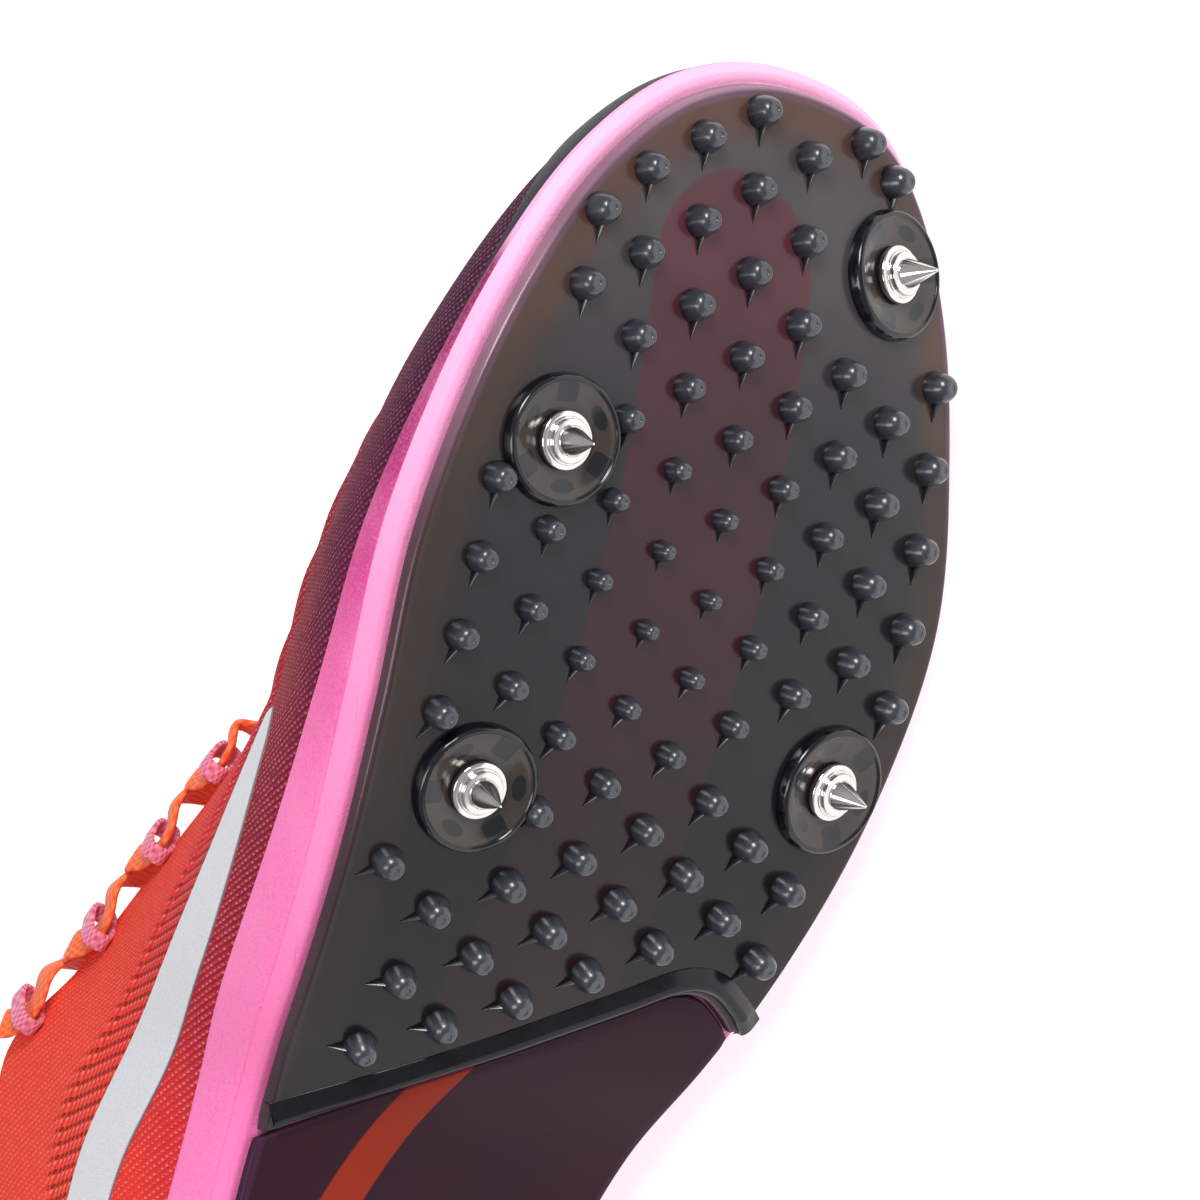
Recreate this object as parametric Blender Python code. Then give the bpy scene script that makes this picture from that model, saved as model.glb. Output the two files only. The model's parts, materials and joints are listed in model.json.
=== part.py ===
"""Track spike shoe for the right foot, empty, lying on its medial side.

The shoe is modelled standing: x runs from heel to toe, y towards the medial side, z up from the
ground under the ball. The last section lays it on its side, toe along +X and sole facing -Y.
Metres.
"""

import math

import bmesh
import bpy
import numpy as np
from mathutils import Matrix, Vector

# Main sizes
SHOE_LENGTH = 0.285
BALL_WIDTH = 0.094
TOE_SPRING = 0.0224
ARCH_RISE = 0.0148
HEEL_FOAM = 0.019
COLLAR_HEIGHT = 0.0955
UPPER_WALL = 0.0016
GAP = 0.0003

# Spike plate
PLATE_THICKNESS = 0.002
PLATE_EDGE_ROUND = 0.0009
LIP_WIDTH = 0.0036
LIP_HEIGHT = 0.0017
NUB_PITCH = 0.01097
NUB_HEIGHT = 0.0034
NUB_RADIUS = 0.0025
NUB_SIDES = 5
NUB_EDGE_MARGIN = 0.0033
NUB_LIP_MARGIN = 0.0045
NUB_BOSS_MARGIN = 0.0007
FIN_LENGTH = 0.0048
FIN_THICKNESS = 0.0008
SINK = 0.0009

# Spikes and the raised bosses that hold them
BOSS_RADIUS = 0.0093
BOSS_HEIGHT = 0.0017
BOWL_RADIUS = 0.0060
BOWL_FLOOR = 0.0005
BOSS_SIDES = 10
SPIKE_LENGTH = 0.0076
SPIKE_FLANGE_RADIUS = 0.0041
SPIKE_STEP_RADIUS = 0.0031
SPIKE_CONE_RADIUS = 0.0020
SPIKE_STUD_RADIUS = 0.0022
SPIKE_STUD_LENGTH = 0.0015
SPIKE_SIDES = 10

# Foam and rear bottom sheet
REAR_SHEET = 0.0012
REAR_EDGE_ROUND = 0.0006
BAND_HEIGHT = 0.0050
BAND_FLARE = 0.0022
WALL_FLARE = 0.0018
LEDGE_INSET = 0.0034
FOOTBED_DEPTH = 0.0025
FOOTBED_DISH = 0.0010
INSOLE_THICKNESS = 0.0026

# Tongue and lacing
TONGUE_THICKNESS = 0.0030
TONGUE_CLEARANCE = 0.0010
TONGUE_CROWN = 0.0008
TONGUE_FREE_END = 0.0135
LACE_WIDTH = 0.0050
LACE_THICKNESS = 0.0012
LOOP_COUNT = 4
LOOP_WIDTH = 0.0028
LOOP_THICKNESS = 0.0008
LOOP_CLEARANCE = 0.0006
LACE_STRAIGHT = 0.0062
LACE_HUMP = 0.0028
LACE_CROSSING = 0.0005
LACE_BAR_START = 0.0020
LACE_BAR_FORWARD = 0.0065
LACE_BAR_END = 0.0062
LACE_BAR_RISE = 0.0008
TOP_LEAN = 0.0050

# Stations from heel tip to toe tip. x is a share of the length, medial and lateral are shares of
# the ball width, measured from the shoe's axis, and so is spine, the line the bottom curls about.
SOLE = (
    # x, medial, lateral, spine
    (0.018, -0.064, -0.064, -0.064),
    (0.027, 0.053, -0.181, -0.064),
    (0.049, 0.154, -0.287, -0.066),
    (0.095, 0.229, -0.362, -0.070),
    (0.165, 0.255, -0.399, -0.075),
    (0.246, 0.245, -0.399, -0.085),
    (0.323, 0.243, -0.378, -0.095),
    (0.389, 0.256, -0.368, -0.096),
    (0.446, 0.291, -0.372, -0.074),
    (0.502, 0.326, -0.419, -0.043),
    (0.572, 0.385, -0.457, -0.027),
    (0.656, 0.453, -0.487, -0.011),
    (0.740, 0.494, -0.500, 0.000),
    (0.818, 0.471, -0.460, 0.011),
    (0.884, 0.430, -0.369, 0.032),
    (0.931, 0.370, -0.260, 0.053),
    (0.9655, 0.249, -0.116, 0.069),
    (0.978, 0.061, 0.061, 0.069),
)

# Height of the bottom along its spine at the same stations, as shares of the arch rise behind the
# ball and of the toe spring in front, and how far each side curls up, as shares of the arch rise.
PROFILE = (
    # arch, spring, medial curl, lateral curl
    (0.40, 0.00, 0.00, 0.00),
    (0.30, 0.00, 0.00, 0.00),
    (0.13, 0.00, 0.00, 0.00),
    (0.00, 0.00, 0.00, 0.00),
    (0.00, 0.00, 0.00, 0.00),
    (0.30, 0.00, 0.00, 0.00),
    (0.80, 0.00, 0.07, 0.27),
    (1.00, 0.00, 0.13, 0.60),
    (0.92, 0.00, 0.10, 0.78),
    (0.50, 0.00, 0.06, 0.55),
    (0.14, 0.00, 0.12, 0.45),
    (0.00, 0.005, 0.23, 0.37),
    (0.00, 0.076, 0.31, 0.31),
    (0.00, 0.272, 0.42, 0.19),
    (0.00, 0.531, 0.54, 0.12),
    (0.00, 0.759, 0.74, 0.05),
    (0.00, 0.929, 0.80, 0.00),
    (0.00, 1.000, 0.80, 0.00),
)

# Height of the foam's side wall at the same stations, as shares of its height at the heel.
WALL = (1.00, 1.00, 0.97, 0.95, 0.90, 0.82, 0.76, 0.66, 0.67, 0.73, 0.69, 0.58, 0.43, 0.29, 0.21,
        0.18, 0.175, 0.18)

# Height of the foam's lower band at each station, in shares of BAND_HEIGHT.
BAND = (0.80, 0.80, 0.80, 0.78, 0.70, 0.60, 0.53, 0.50, 0.53, 0.62, 0.70, 0.80, 0.74, 0.62, 0.54,
        0.54, 0.54, 0.54)

# Edge of the collar and throat at the same stations: x as a share of the length, the medial and
# lateral sides as shares of the ball width, and the height as a share of the collar height.
OPENING = (
    # x, medial, lateral, height
    (0.014, -0.064, -0.064, 0.850),
    (0.020, 0.040, -0.170, 0.840),
    (0.045, 0.120, -0.245, 0.800),
    (0.095, 0.170, -0.300, 0.720),
    (0.165, 0.205, -0.330, 0.670),
    (0.243, 0.200, -0.325, 0.710),
    (0.320, 0.150, -0.285, 0.850),
    (0.385, 0.100, -0.225, 1.000),
    (0.441, 0.078, -0.200, 0.918),
    (0.492, 0.072, -0.190, 0.842),
    (0.541, 0.070, -0.182, 0.766),
    (0.583, 0.066, -0.172, 0.700),
    (0.608, 0.050, -0.152, 0.663),
    (0.620, 0.030, -0.130, 0.646),
    (0.626, 0.010, -0.108, 0.638),
    (0.629, -0.008, -0.088, 0.634),
    (0.631, -0.026, -0.070, 0.632),
    (0.632, -0.048, -0.048, 0.631),
)

# How each rib of the upper bends between the foam and that edge, at the same stations. rise and
# bulge say how it leaves the foam, run and drop how it reaches the edge. Shares of the ball width.
RIBS = (
    # rise, bulge, run, drop
    (0.250, 0.062, -0.050, 0.250),
    (0.245, 0.055, -0.044, 0.245),
    (0.230, 0.042, -0.024, 0.225),
    (0.190, 0.022, 0.000, 0.200),
    (0.165, 0.020, 0.012, 0.190),
    (0.165, 0.020, 0.025, 0.200),
    (0.175, 0.018, 0.055, 0.245),
    (0.165, 0.020, 0.085, 0.290),
    (0.145, 0.020, 0.125, 0.280),
    (0.125, 0.014, 0.145, 0.235),
    (0.105, 0.008, 0.150, 0.200),
    (0.090, 0.004, 0.165, 0.165),
    (0.080, 0.002, 0.250, 0.118),
    (0.080, 0.002, 0.370, 0.086),
    (0.086, 0.002, 0.490, 0.072),
    (0.094, 0.003, 0.590, 0.066),
    (0.100, 0.005, 0.650, 0.064),
    (0.104, 0.007, 0.680, 0.063),
)

# The raised rear edge of the spike plate, from its lateral to its medial end: shares of the
# length and of the ball width.
LIP = (
    (0.434, -0.362),
    (0.458, -0.250),
    (0.482, -0.135),
    (0.506, -0.010),
    (0.527, 0.105),
    (0.542, 0.190),
    (0.543, 0.250),
    (0.534, 0.305),
    (0.523, 0.350),
)

# Where the spikes stand: shares of the length and of the ball width.
SPIKES = {
    "spike_medial_front": (0.902, 0.298),
    "spike_lateral_front": (0.799, -0.303),
    "spike_lateral_rear": (0.628, -0.305),
    "spike_medial_rear": (0.655, 0.333),
}

# The nubs stand on a triangular lattice. Its first point is a share of the length and of the ball
# width. Three of its points are bare, and in front of a share of the length the outermost nubs move
# in from the edge.
FIRST_NUB = (0.949, 0.108)
BARE_NUBS = ((1, -1), (8, -1), (8, 5))
TOE_NUBS_FROM = 0.90

LOOP_SAMPLES = 62
LIP_COLUMNS = 11
RIB_STEPS = 6
TONGUE_STEPS = 12


def clear_scene():
    for thing in list(bpy.data.objects):
        bpy.data.objects.remove(thing, do_unlink=True)


# Curves and surfaces

STATIONS = len(SOLE)
LAST = STATIONS - 1


def around(columns):
    """Rows for a closed loop: heel tip, medial side, toe tip, then the lateral side back."""
    medial = np.array(columns[0], float)
    lateral = np.array(columns[1], float)
    return np.concatenate([medial, lateral[-2:0:-1]])


def on_loop(rows, position):
    """Closed Catmull-Rom curve through the rows, read at positions counted in stations."""
    rows = np.asarray(rows, float)
    position = np.asarray(position, float) % len(rows)
    index = np.floor(position).astype(int)
    part = (position - index).reshape(index.shape + (1,) * (rows.ndim - 1))
    before, here, after, beyond = (rows[(index + step) % len(rows)] for step in (-1, 0, 1, 2))
    slope_here = (after - before) / 2
    slope_after = (beyond - here) / 2
    return (
        here * (1 + part**2 * (2 * part - 3))
        + after * part**2 * (3 - 2 * part)
        + slope_here * part * (1 - part) ** 2
        - slope_after * part**2 * (1 - part)
    )


def along(knots, values, place):
    """Smooth curve through uneven knots: cubic pieces whose slopes are the central differences."""
    knots = np.asarray(knots, float)
    values = np.asarray(values, float)
    slopes = np.gradient(values, knots)
    place = np.clip(place, knots[0], knots[-1])
    index = np.clip(np.searchsorted(knots, place) - 1, 0, len(knots) - 2)
    width = knots[index + 1] - knots[index]
    part = (place - knots[index]) / width
    return (
        values[index] * (1 + part**2 * (2 * part - 3))
        + values[index + 1] * part**2 * (3 - 2 * part)
        + width * slopes[index] * part * (1 - part) ** 2
        - width * slopes[index + 1] * part**2 * (1 - part)
    )


def smooth_path(rows, place):
    """Smooth curve through rows of points, whose knots lie as far apart as the points do. place
    counts rows, so 2.5 is halfway from the third to the fourth."""
    reach = np.linalg.norm(np.diff(rows[:, :3], axis=0), axis=1)
    knots = np.concatenate([[0.0], np.cumsum(reach)])
    where = np.interp(place, np.arange(len(rows)), knots)
    return np.stack([along(knots, rows[:, k], where) for k in range(rows.shape[1])], -1)


STATION_X = np.array([row[0] for row in SOLE]) * SHOE_LENGTH
SPINE_Y = np.array([row[3] for row in SOLE]) * BALL_WIDTH
SPINE_Z = np.array([ARCH_RISE * row[0] + TOE_SPRING * row[1] for row in PROFILE])
MEDIAL_CURL = np.array([row[2] for row in PROFILE]) * ARCH_RISE
LATERAL_CURL = np.array([row[3] for row in PROFILE]) * ARCH_RISE
SOLE_LOOP = around([[(x, m) for x, m, _, _ in SOLE], [(x, l) for x, _, l, _ in SOLE]]) * (
    SHOE_LENGTH, BALL_WIDTH)
OPENING_LOOP = around([[(x, m, z) for x, m, _, z in OPENING], [(x, l, z) for x, _, l, z in OPENING]]) * (
    SHOE_LENGTH, BALL_WIDTH, COLLAR_HEIGHT)
RIB_LOOP = around([RIBS, RIBS]) * BALL_WIDTH
WALL_LOOP = around([WALL, WALL]) * HEEL_FOAM
BAND_LOOP = around([BAND, BAND]) * BAND_HEIGHT
ROUND = 2 * LAST


def bottom(x, y):
    """Height of the sole's underside: the rise along the spine, plus a curl that grows with the
    square of the distance from the spine. Nothing lies below the ground, so the heel is flat."""
    x = np.asarray(x, float)
    aside = (np.asarray(y, float) - along(STATION_X, SPINE_Y, x)) / (BALL_WIDTH / 2)
    curl = np.where(
        aside > 0, along(STATION_X, MEDIAL_CURL, x), along(STATION_X, LATERAL_CURL, x)
    )
    return np.maximum(0.0, along(STATION_X, SPINE_Z, x) + curl * aside**2)


def bottom_normal(x, y):
    """Unit normal of the underside, pointing to the ground."""
    step = 1e-4
    slope_x = (bottom(x + step, y) - bottom(x - step, y)) / (2 * step)
    slope_y = (bottom(x, y + step) - bottom(x, y - step)) / (2 * step)
    return Vector((float(slope_x), float(slope_y), -1.0)).normalized()


def outward(loop):
    """Unit normals in plan of a closed loop of points, pointing out of it."""
    plan = loop[:, :2]
    run = np.roll(plan, -1, 0) - np.roll(plan, 1, 0)
    normal = np.stack([run[:, 1], -run[:, 0]], 1)
    area = np.sum(plan[:, 0] * np.roll(plan[:, 1], -1) - np.roll(plan[:, 0], -1) * plan[:, 1])
    normal *= np.sign(area)
    return normal / np.linalg.norm(normal, axis=1, keepdims=True)


def sole_edge(position, outset=0.0):
    """Plan points of the sole's edge, moved out by outset."""
    step = 0.02
    here = on_loop(SOLE_LOOP, position)
    run = on_loop(SOLE_LOOP, position + step) - on_loop(SOLE_LOOP, position - step)
    normal = np.stack([-run[..., 1], run[..., 0]], -1)
    normal /= np.linalg.norm(normal, axis=-1, keepdims=True)
    return here + outset * normal


def foam_rim(position, outset):
    """Points along the top of the foam's side wall."""
    edge = sole_edge(position)
    plan = sole_edge(position, outset)
    height = bottom(edge[..., 0], edge[..., 1]) + PLATE_THICKNESS + GAP + on_loop(WALL_LOOP, position)
    return np.concatenate([plan, height[..., None]], -1)


def upper_outside(position, share):
    """Outer face of the upper. Each rib is a cubic curve from the foam's rim, share 0, to the edge
    of the opening, share 1. It leaves the rim upwards with a slight bulge and comes to the edge
    over a crown that lies towards the rim."""
    foot = foam_rim(position, WALL_FLARE - UPPER_WALL / 2)
    foot = foot + np.array([0, 0, GAP])
    edge = on_loop(OPENING_LOOP, position)
    rib = on_loop(RIB_LOOP, position)
    side = foam_rim(position, WALL_FLARE + BALL_WIDTH)[..., :2] - foam_rim(position, WALL_FLARE)[..., :2]
    side = side / BALL_WIDTH
    lean = foot[..., :2] - edge[..., :2] + TOP_LEAN * side
    lean = lean / np.linalg.norm(lean, axis=-1, keepdims=True)
    first = foot + np.concatenate([side * rib[..., 1:2], rib[..., 0:1]], -1)
    second = edge + np.concatenate([lean * rib[..., 2:3], -rib[..., 3:4]], -1)
    t = np.asarray(share, float)[..., None]
    return (
        foot * (1 - t) ** 3 + 3 * first * t * (1 - t) ** 2 + 3 * second * t**2 * (1 - t) + edge * t**3
    )


def upper_normal(position, share):
    """Unit normal of the upper's outer face, pointing out of the shoe."""
    step = 0.01
    share = np.asarray(share, float)
    low = np.clip(share - step, 0, 1)
    high = np.clip(share + step, 0, 1)
    up = upper_outside(position, high) - upper_outside(position, low)
    run = upper_outside(position + step, share) - upper_outside(position - step, share)
    normal = np.cross(up, run)
    return normal / np.linalg.norm(normal, axis=-1, keepdims=True)


def upper_layer(position, share, depth):
    """The upper's face moved inwards by depth."""
    return upper_outside(position, share) - depth * upper_normal(position, share)


# Mesh makers

def add_part(name, points, faces):
    """A mesh object from points and faces, welded, with its normals pointing out."""
    mesh = bpy.data.meshes.new(name)
    mesh.from_pydata([tuple(map(float, p)) for p in points], [], [tuple(f) for f in faces])
    work = bmesh.new()
    work.from_mesh(mesh)
    bmesh.ops.remove_doubles(work, verts=work.verts, dist=1e-6)
    bmesh.ops.recalc_face_normals(work, faces=work.faces)
    work.to_mesh(mesh)
    work.free()
    thing = bpy.data.objects.new(name, mesh)
    bpy.context.scene.collection.objects.link(thing)
    return thing


def grid_faces(rows, columns, first=0, closed=False):
    """Quads of a grid of points stored row by row. A closed grid joins its last column to its first."""
    faces = []
    for row in range(rows - 1):
        for column in range(columns if closed else columns - 1):
            right = (column + 1) % columns
            a = first + row * columns + column
            b = first + row * columns + right
            faces.append((a, b, b + columns, a + columns))
    return faces


def rim_of(grid):
    """Edge points of a grid in order. A rung whose points all coincide counts once."""
    medial = grid[:, 0]
    lateral = grid[::-1, -1]
    first = grid[0, 1:-1][::-1]
    last = grid[-1, 1:-1]
    parts = [medial]
    if np.ptp(grid[-1], axis=0).max() > 1e-6:
        parts += [last, lateral]
    else:
        parts += [lateral[1:]]
    if np.ptp(grid[0], axis=0).max() > 1e-6:
        parts += [first]
    else:
        parts[-1] = parts[-1][:-1]
    return np.concatenate(parts)


def capped(name, floor, rings, ceiling):
    """A closed solid: a grid for its floor, rings of edge points going up, a grid for its ceiling."""
    rings = [rim_of(floor)] + list(rings) + [rim_of(ceiling)]
    points = [floor.reshape(-1, 3), ceiling.reshape(-1, 3)] + rings
    faces = grid_faces(*floor.shape[:2])
    faces += grid_faces(*ceiling.shape[:2], first=floor.shape[0] * floor.shape[1])
    first = len(points[0]) + len(points[1])
    faces += grid_faces(len(rings), len(rings[0]), first=first, closed=True)
    return add_part(name, np.concatenate(points), faces)


def turned(profile, sides):
    """Points and faces of a profile of (radius, height) turned about z. Radius 0 closes an end."""
    angles = (np.arange(sides) + 0.5) * 2 * math.pi / sides
    points = [(r * math.cos(a), r * math.sin(a), z) for r, z in profile for a in angles]
    return np.array(points), grid_faces(len(profile), sides, closed=True)


def frame_at(place, normal, forward):
    """Matrix whose z is the normal and whose x leans towards forward, set at place."""
    z = Vector(normal).normalized()
    y = z.cross(Vector(forward)).normalized()
    x = y.cross(z)
    return Matrix.Translation(Vector(place)) @ Matrix((x, y, z)).transposed().to_4x4()


def placed(points, matrix):
    rotation = np.array(matrix.to_3x3())
    return np.asarray(points) @ rotation.T + np.array(matrix.translation)


def ribbon(path, width_ways, up_ways, width, thickness):
    """Points and faces of a flat strip swept along a path: at each point a rectangle."""
    corners = ((-1, -1), (1, -1), (1, 1), (-1, 1))
    rows = [path + a * width / 2 * width_ways + b * thickness / 2 * up_ways for a, b in corners]
    points = np.stack(rows, 1).reshape(-1, 3)
    faces = grid_faces(len(path), 4, closed=True)
    faces += [(0, 1, 2, 3), tuple(len(points) - 4 + k for k in range(4))]
    return points, faces


def split_bent(thing):
    """Split faces whose corners don't lie in one plane into triangles."""
    work = bmesh.new()
    work.from_mesh(thing.data)
    bent = []
    for face in work.faces:
        face.normal_update()
        start = face.verts[0].co
        if max(abs((corner.co - start).dot(face.normal)) for corner in face.verts) > 1e-8:
            bent.append(face)
    bmesh.ops.triangulate(work, faces=bent)
    work.to_mesh(thing.data)
    work.free()


def merge_flat(thing):
    """Weld points that nearly coincide, and merge neighbouring faces that lie in one plane."""
    work = bmesh.new()
    work.from_mesh(thing.data)
    bmesh.ops.remove_doubles(work, verts=work.verts, dist=1e-6)
    bmesh.ops.dissolve_degenerate(work, edges=work.edges, dist=1e-6)
    limit = math.radians(0.02)
    bmesh.ops.dissolve_limit(work, angle_limit=limit, verts=work.verts, edges=work.edges)
    work.to_mesh(thing.data)
    work.free()


def join(thing, other, operation):
    """Apply a Boolean of other to thing, then drop other. Flat faces keep its cuts clean."""
    split_bent(thing)
    split_bent(other)
    change = thing.modifiers.new(operation.title(), "BOOLEAN")
    change.operation = operation
    change.solver = "EXACT"
    change.object = other
    bpy.context.view_layer.update()
    graph = bpy.context.evaluated_depsgraph_get()
    made = bpy.data.meshes.new_from_object(thing.evaluated_get(graph))
    thing.modifiers.clear()
    old = thing.data
    thing.data = made
    bpy.data.meshes.remove(old)
    bpy.data.objects.remove(other, do_unlink=True)
    made.name = thing.name
    merge_flat(thing)


def gathered(name, shapes):
    """One object from several separate shapes."""
    points = []
    faces = []
    for more_points, more_faces in shapes:
        first = sum(len(p) for p in points)
        points.append(more_points)
        faces += [tuple(first + k for k in face) for face in more_faces]
    return add_part(name, np.concatenate(points), faces)


# Spike plate

def lip_line(share):
    """Plan points of the plate's rear edge, from share 0 at the lateral end to 1 at the medial."""
    rows = np.array(LIP) * (SHOE_LENGTH, BALL_WIDTH)
    knots = np.arange(len(rows))
    place = np.asarray(share, float) * (len(rows) - 1)
    return np.stack([along(knots, rows[:, 0], place), along(knots, rows[:, 1], place)], -1)


def edge_position(x, medial):
    """Station position on the sole's edge at a given x, on one side."""
    tries = np.linspace(0, LAST, 1701)
    if not medial:
        tries = ROUND - tries
    return float(tries[np.argmin(np.abs(on_loop(SOLE_LOOP, tries)[:, 0] - x))])


def plan_ladder(medial_positions, lateral_positions, columns, inset):
    """Plan grid between matching points of the two sides, medial in the first column."""
    medial = sole_edge(np.asarray(medial_positions), -inset)
    lateral = sole_edge(np.asarray(lateral_positions), -inset)
    across = np.linspace(0, 1, columns)[None, :, None]
    return medial[:, None] * (1 - across) + lateral[:, None] * across


def plate_plan(rungs, columns, inset):
    """Plan grid of the plate. Its first rung is the rear lip, and the bend of the lip fades out."""
    medial_start = edge_position(LIP[-1][0] * SHOE_LENGTH, True)
    lateral_start = edge_position(LIP[0][0] * SHOE_LENGTH, False)
    medial = np.linspace(medial_start, LAST, rungs)
    lateral = np.linspace(lateral_start, LAST, rungs)
    grid = plan_ladder(medial, lateral, columns, inset)
    lip = lip_line(np.linspace(1, 0, columns))
    bend = lip - grid[0]
    bend[0] = 0
    bend[-1] = 0
    fade = np.linspace(1, 0, rungs)[:, None, None] ** 2
    return grid + bend[None] * fade


def lifted(plan, height):
    """Plan points raised to the underside plus a height."""
    return np.concatenate([plan, (bottom(plan[..., 0], plan[..., 1]) + height)[..., None]], -1)


def nub_places():
    """Plan points of the lattice that lie on the plate, clear of its edge, lip and bosses."""
    start = np.array(FIRST_NUB) * (SHOE_LENGTH, BALL_WIDTH)
    row = NUB_PITCH * np.array([-1.0, 0.0])
    column = NUB_PITCH * np.array([-0.5, -math.sqrt(3) / 2])
    edge = sole_edge(np.linspace(0, ROUND, 12 * ROUND, endpoint=False))
    lip = lip_line(np.linspace(0, 1, 60))
    bosses = np.array(list(SPIKES.values())) * (SHOE_LENGTH, BALL_WIDTH)
    places = []
    for i in range(-3, 14):
        for j in range(-7, 8):
            place = start + i * row + j * column
            if (i, j) in BARE_NUBS or not inside(place, edge) or behind_lip(place, lip):
                continue
            nearest = edge[np.linalg.norm(edge - place, axis=1).argmin()]
            margin = np.linalg.norm(place - nearest)
            if margin < NUB_EDGE_MARGIN:
                if place[0] < TOE_NUBS_FROM * SHOE_LENGTH or margin < NUB_EDGE_MARGIN / 12:
                    continue
                place = nearest + (place - nearest) * NUB_EDGE_MARGIN / margin
            if np.linalg.norm(lip - place, axis=1).min() < NUB_LIP_MARGIN:
                continue
            if np.linalg.norm(bosses - place, axis=1).min() < BOSS_RADIUS + NUB_BOSS_MARGIN:
                continue
            places.append(place)
    return places


def inside(place, loop):
    """Whether a plan point lies inside a closed loop, by crossings of a ray along x."""
    here = loop
    after = np.roll(loop, -1, 0)
    straddle = (here[:, 1] > place[1]) != (after[:, 1] > place[1])
    rise = np.where(straddle, after[:, 1] - here[:, 1], 1.0)
    cross = here[:, 0] + (place[1] - here[:, 1]) * (after[:, 0] - here[:, 0]) / rise
    return bool(np.count_nonzero(straddle & (cross > place[0])) % 2)


def behind_lip(place, lip):
    nearest = lip[np.argmin(np.abs(lip[:, 1] - place[1]))]
    return place[0] < nearest[0]


def nub_size(place):
    """Nubs are full size near the plate's edge and smaller in the middle of the forefoot."""
    middle = np.array([0.735 * SHOE_LENGTH, -0.06 * BALL_WIDTH])
    away = min(1.0, np.linalg.norm(place - middle) / (0.46 * BALL_WIDTH))
    return 0.60 + 0.40 * away * away * (3 - 2 * away)


def nub_rise(place):
    """Height of a nub: the small ones are tall for their width."""
    return NUB_HEIGHT * (0.5 + 0.5 * nub_size(place))


def fin_way(place):
    """A fin points back, and swings towards the lateral side in the rear rows."""
    back = np.clip((0.76 * SHOE_LENGTH - place[0]) / (0.25 * SHOE_LENGTH), 0, 1)
    side = np.clip(0.5 - place[1] / BALL_WIDTH, 0, 1)
    angle = math.radians(75) * back * (0.55 + 0.45 * side)
    return (-math.cos(angle), -math.sin(angle), 0.0)


def nub_shape(place):
    size = nub_size(place)
    radius = NUB_RADIUS * size
    height = nub_rise(place)
    profile = (
        (0.0, -SINK), (radius, -SINK), (0.60 * radius, height), (0.0, height)
    )
    points, faces = turned(profile, NUB_SIDES)
    base = (place[0], place[1], float(bottom(*place)))
    return placed(points, frame_at(base, bottom_normal(*place), fin_way(place))), faces


def fin_shape(place):
    """A wedge from inside the nub down to a point on the plate behind it."""
    size = nub_size(place)
    height = 0.55 * nub_rise(place)
    half = FIN_THICKNESS / 2
    length = FIN_LENGTH * size
    start = 0.30 * NUB_RADIUS * size
    points = np.array([
        (start, -half, -SINK), (start, half, -SINK), (start, 0.6 * half, height),
        (start, -0.6 * half, height), (length, -0.3 * half, -SINK), (length, 0.3 * half, -SINK),
    ])
    faces = [(0, 1, 2, 3), (0, 4, 5, 1), (1, 5, 2), (0, 3, 4), (2, 5, 4, 3)]
    base = (place[0], place[1], float(bottom(*place)))
    return placed(points, frame_at(base, bottom_normal(*place), fin_way(place))), faces


def boss_shape(place):
    profile = (
        (0.0, -SINK),
        (BOSS_RADIUS, -SINK),
        (0.96 * BOSS_RADIUS, 0.45 * BOSS_HEIGHT),
        (0.84 * BOSS_RADIUS, BOSS_HEIGHT),
        (BOWL_RADIUS, BOWL_FLOOR),
        (0.0, BOWL_FLOOR),
    )
    points, faces = turned(profile, BOSS_SIDES)
    base = (place[0], place[1], float(bottom(*place)))
    return placed(points, frame_at(base, bottom_normal(*place), (-1, 0, 0))), faces


def stud_hole(place):
    radius = SPIKE_STUD_RADIUS + GAP
    deep = SPIKE_STUD_LENGTH - BOWL_FLOOR + GAP
    profile = ((0.0, -deep), (radius, -deep), (radius, BOSS_HEIGHT), (0.0, BOSS_HEIGHT))
    points, faces = turned(profile, BOSS_SIDES)
    base = (place[0], place[1], float(bottom(*place)))
    return placed(points, frame_at(base, bottom_normal(*place), (-1, 0, 0))), faces


def lip_shape():
    """The bead along the plate's rear edge: a half-round section that tapers at the lateral end."""
    shares = np.linspace(0.015, 0.985, 22)
    plan = lip_line(shares)
    run = np.gradient(plan, axis=0)
    run /= np.linalg.norm(run, axis=1, keepdims=True)
    side = np.stack([-run[:, 1], run[:, 0]], 1)
    middle = plan - side * 0.5 * LIP_WIDTH
    taper = np.clip(0.20 + 6.0 * shares, 0, 1) * np.clip(0.5 + 6.0 * (1 - shares), 0, 1)
    section = ((-0.5, -0.35), (-0.42, 0.55), (-0.1, 1.0), (0.25, 0.8), (0.5, -0.35))
    rows = []
    for across, down in section:
        flat = middle + side * (across * LIP_WIDTH)
        depth = np.where(down > 0, LIP_HEIGHT * taper * down, LIP_HEIGHT * down)
        rows.append(np.concatenate([flat, (bottom(flat[:, 0], flat[:, 1]) - depth)[:, None]], 1))
    points = np.stack(rows, 1).reshape(-1, 3)
    faces = grid_faces(len(shares), len(section), closed=True)
    faces += [tuple(range(len(section))), tuple(len(points) - len(section) + k for k in range(len(section)))]
    return points, faces


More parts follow.
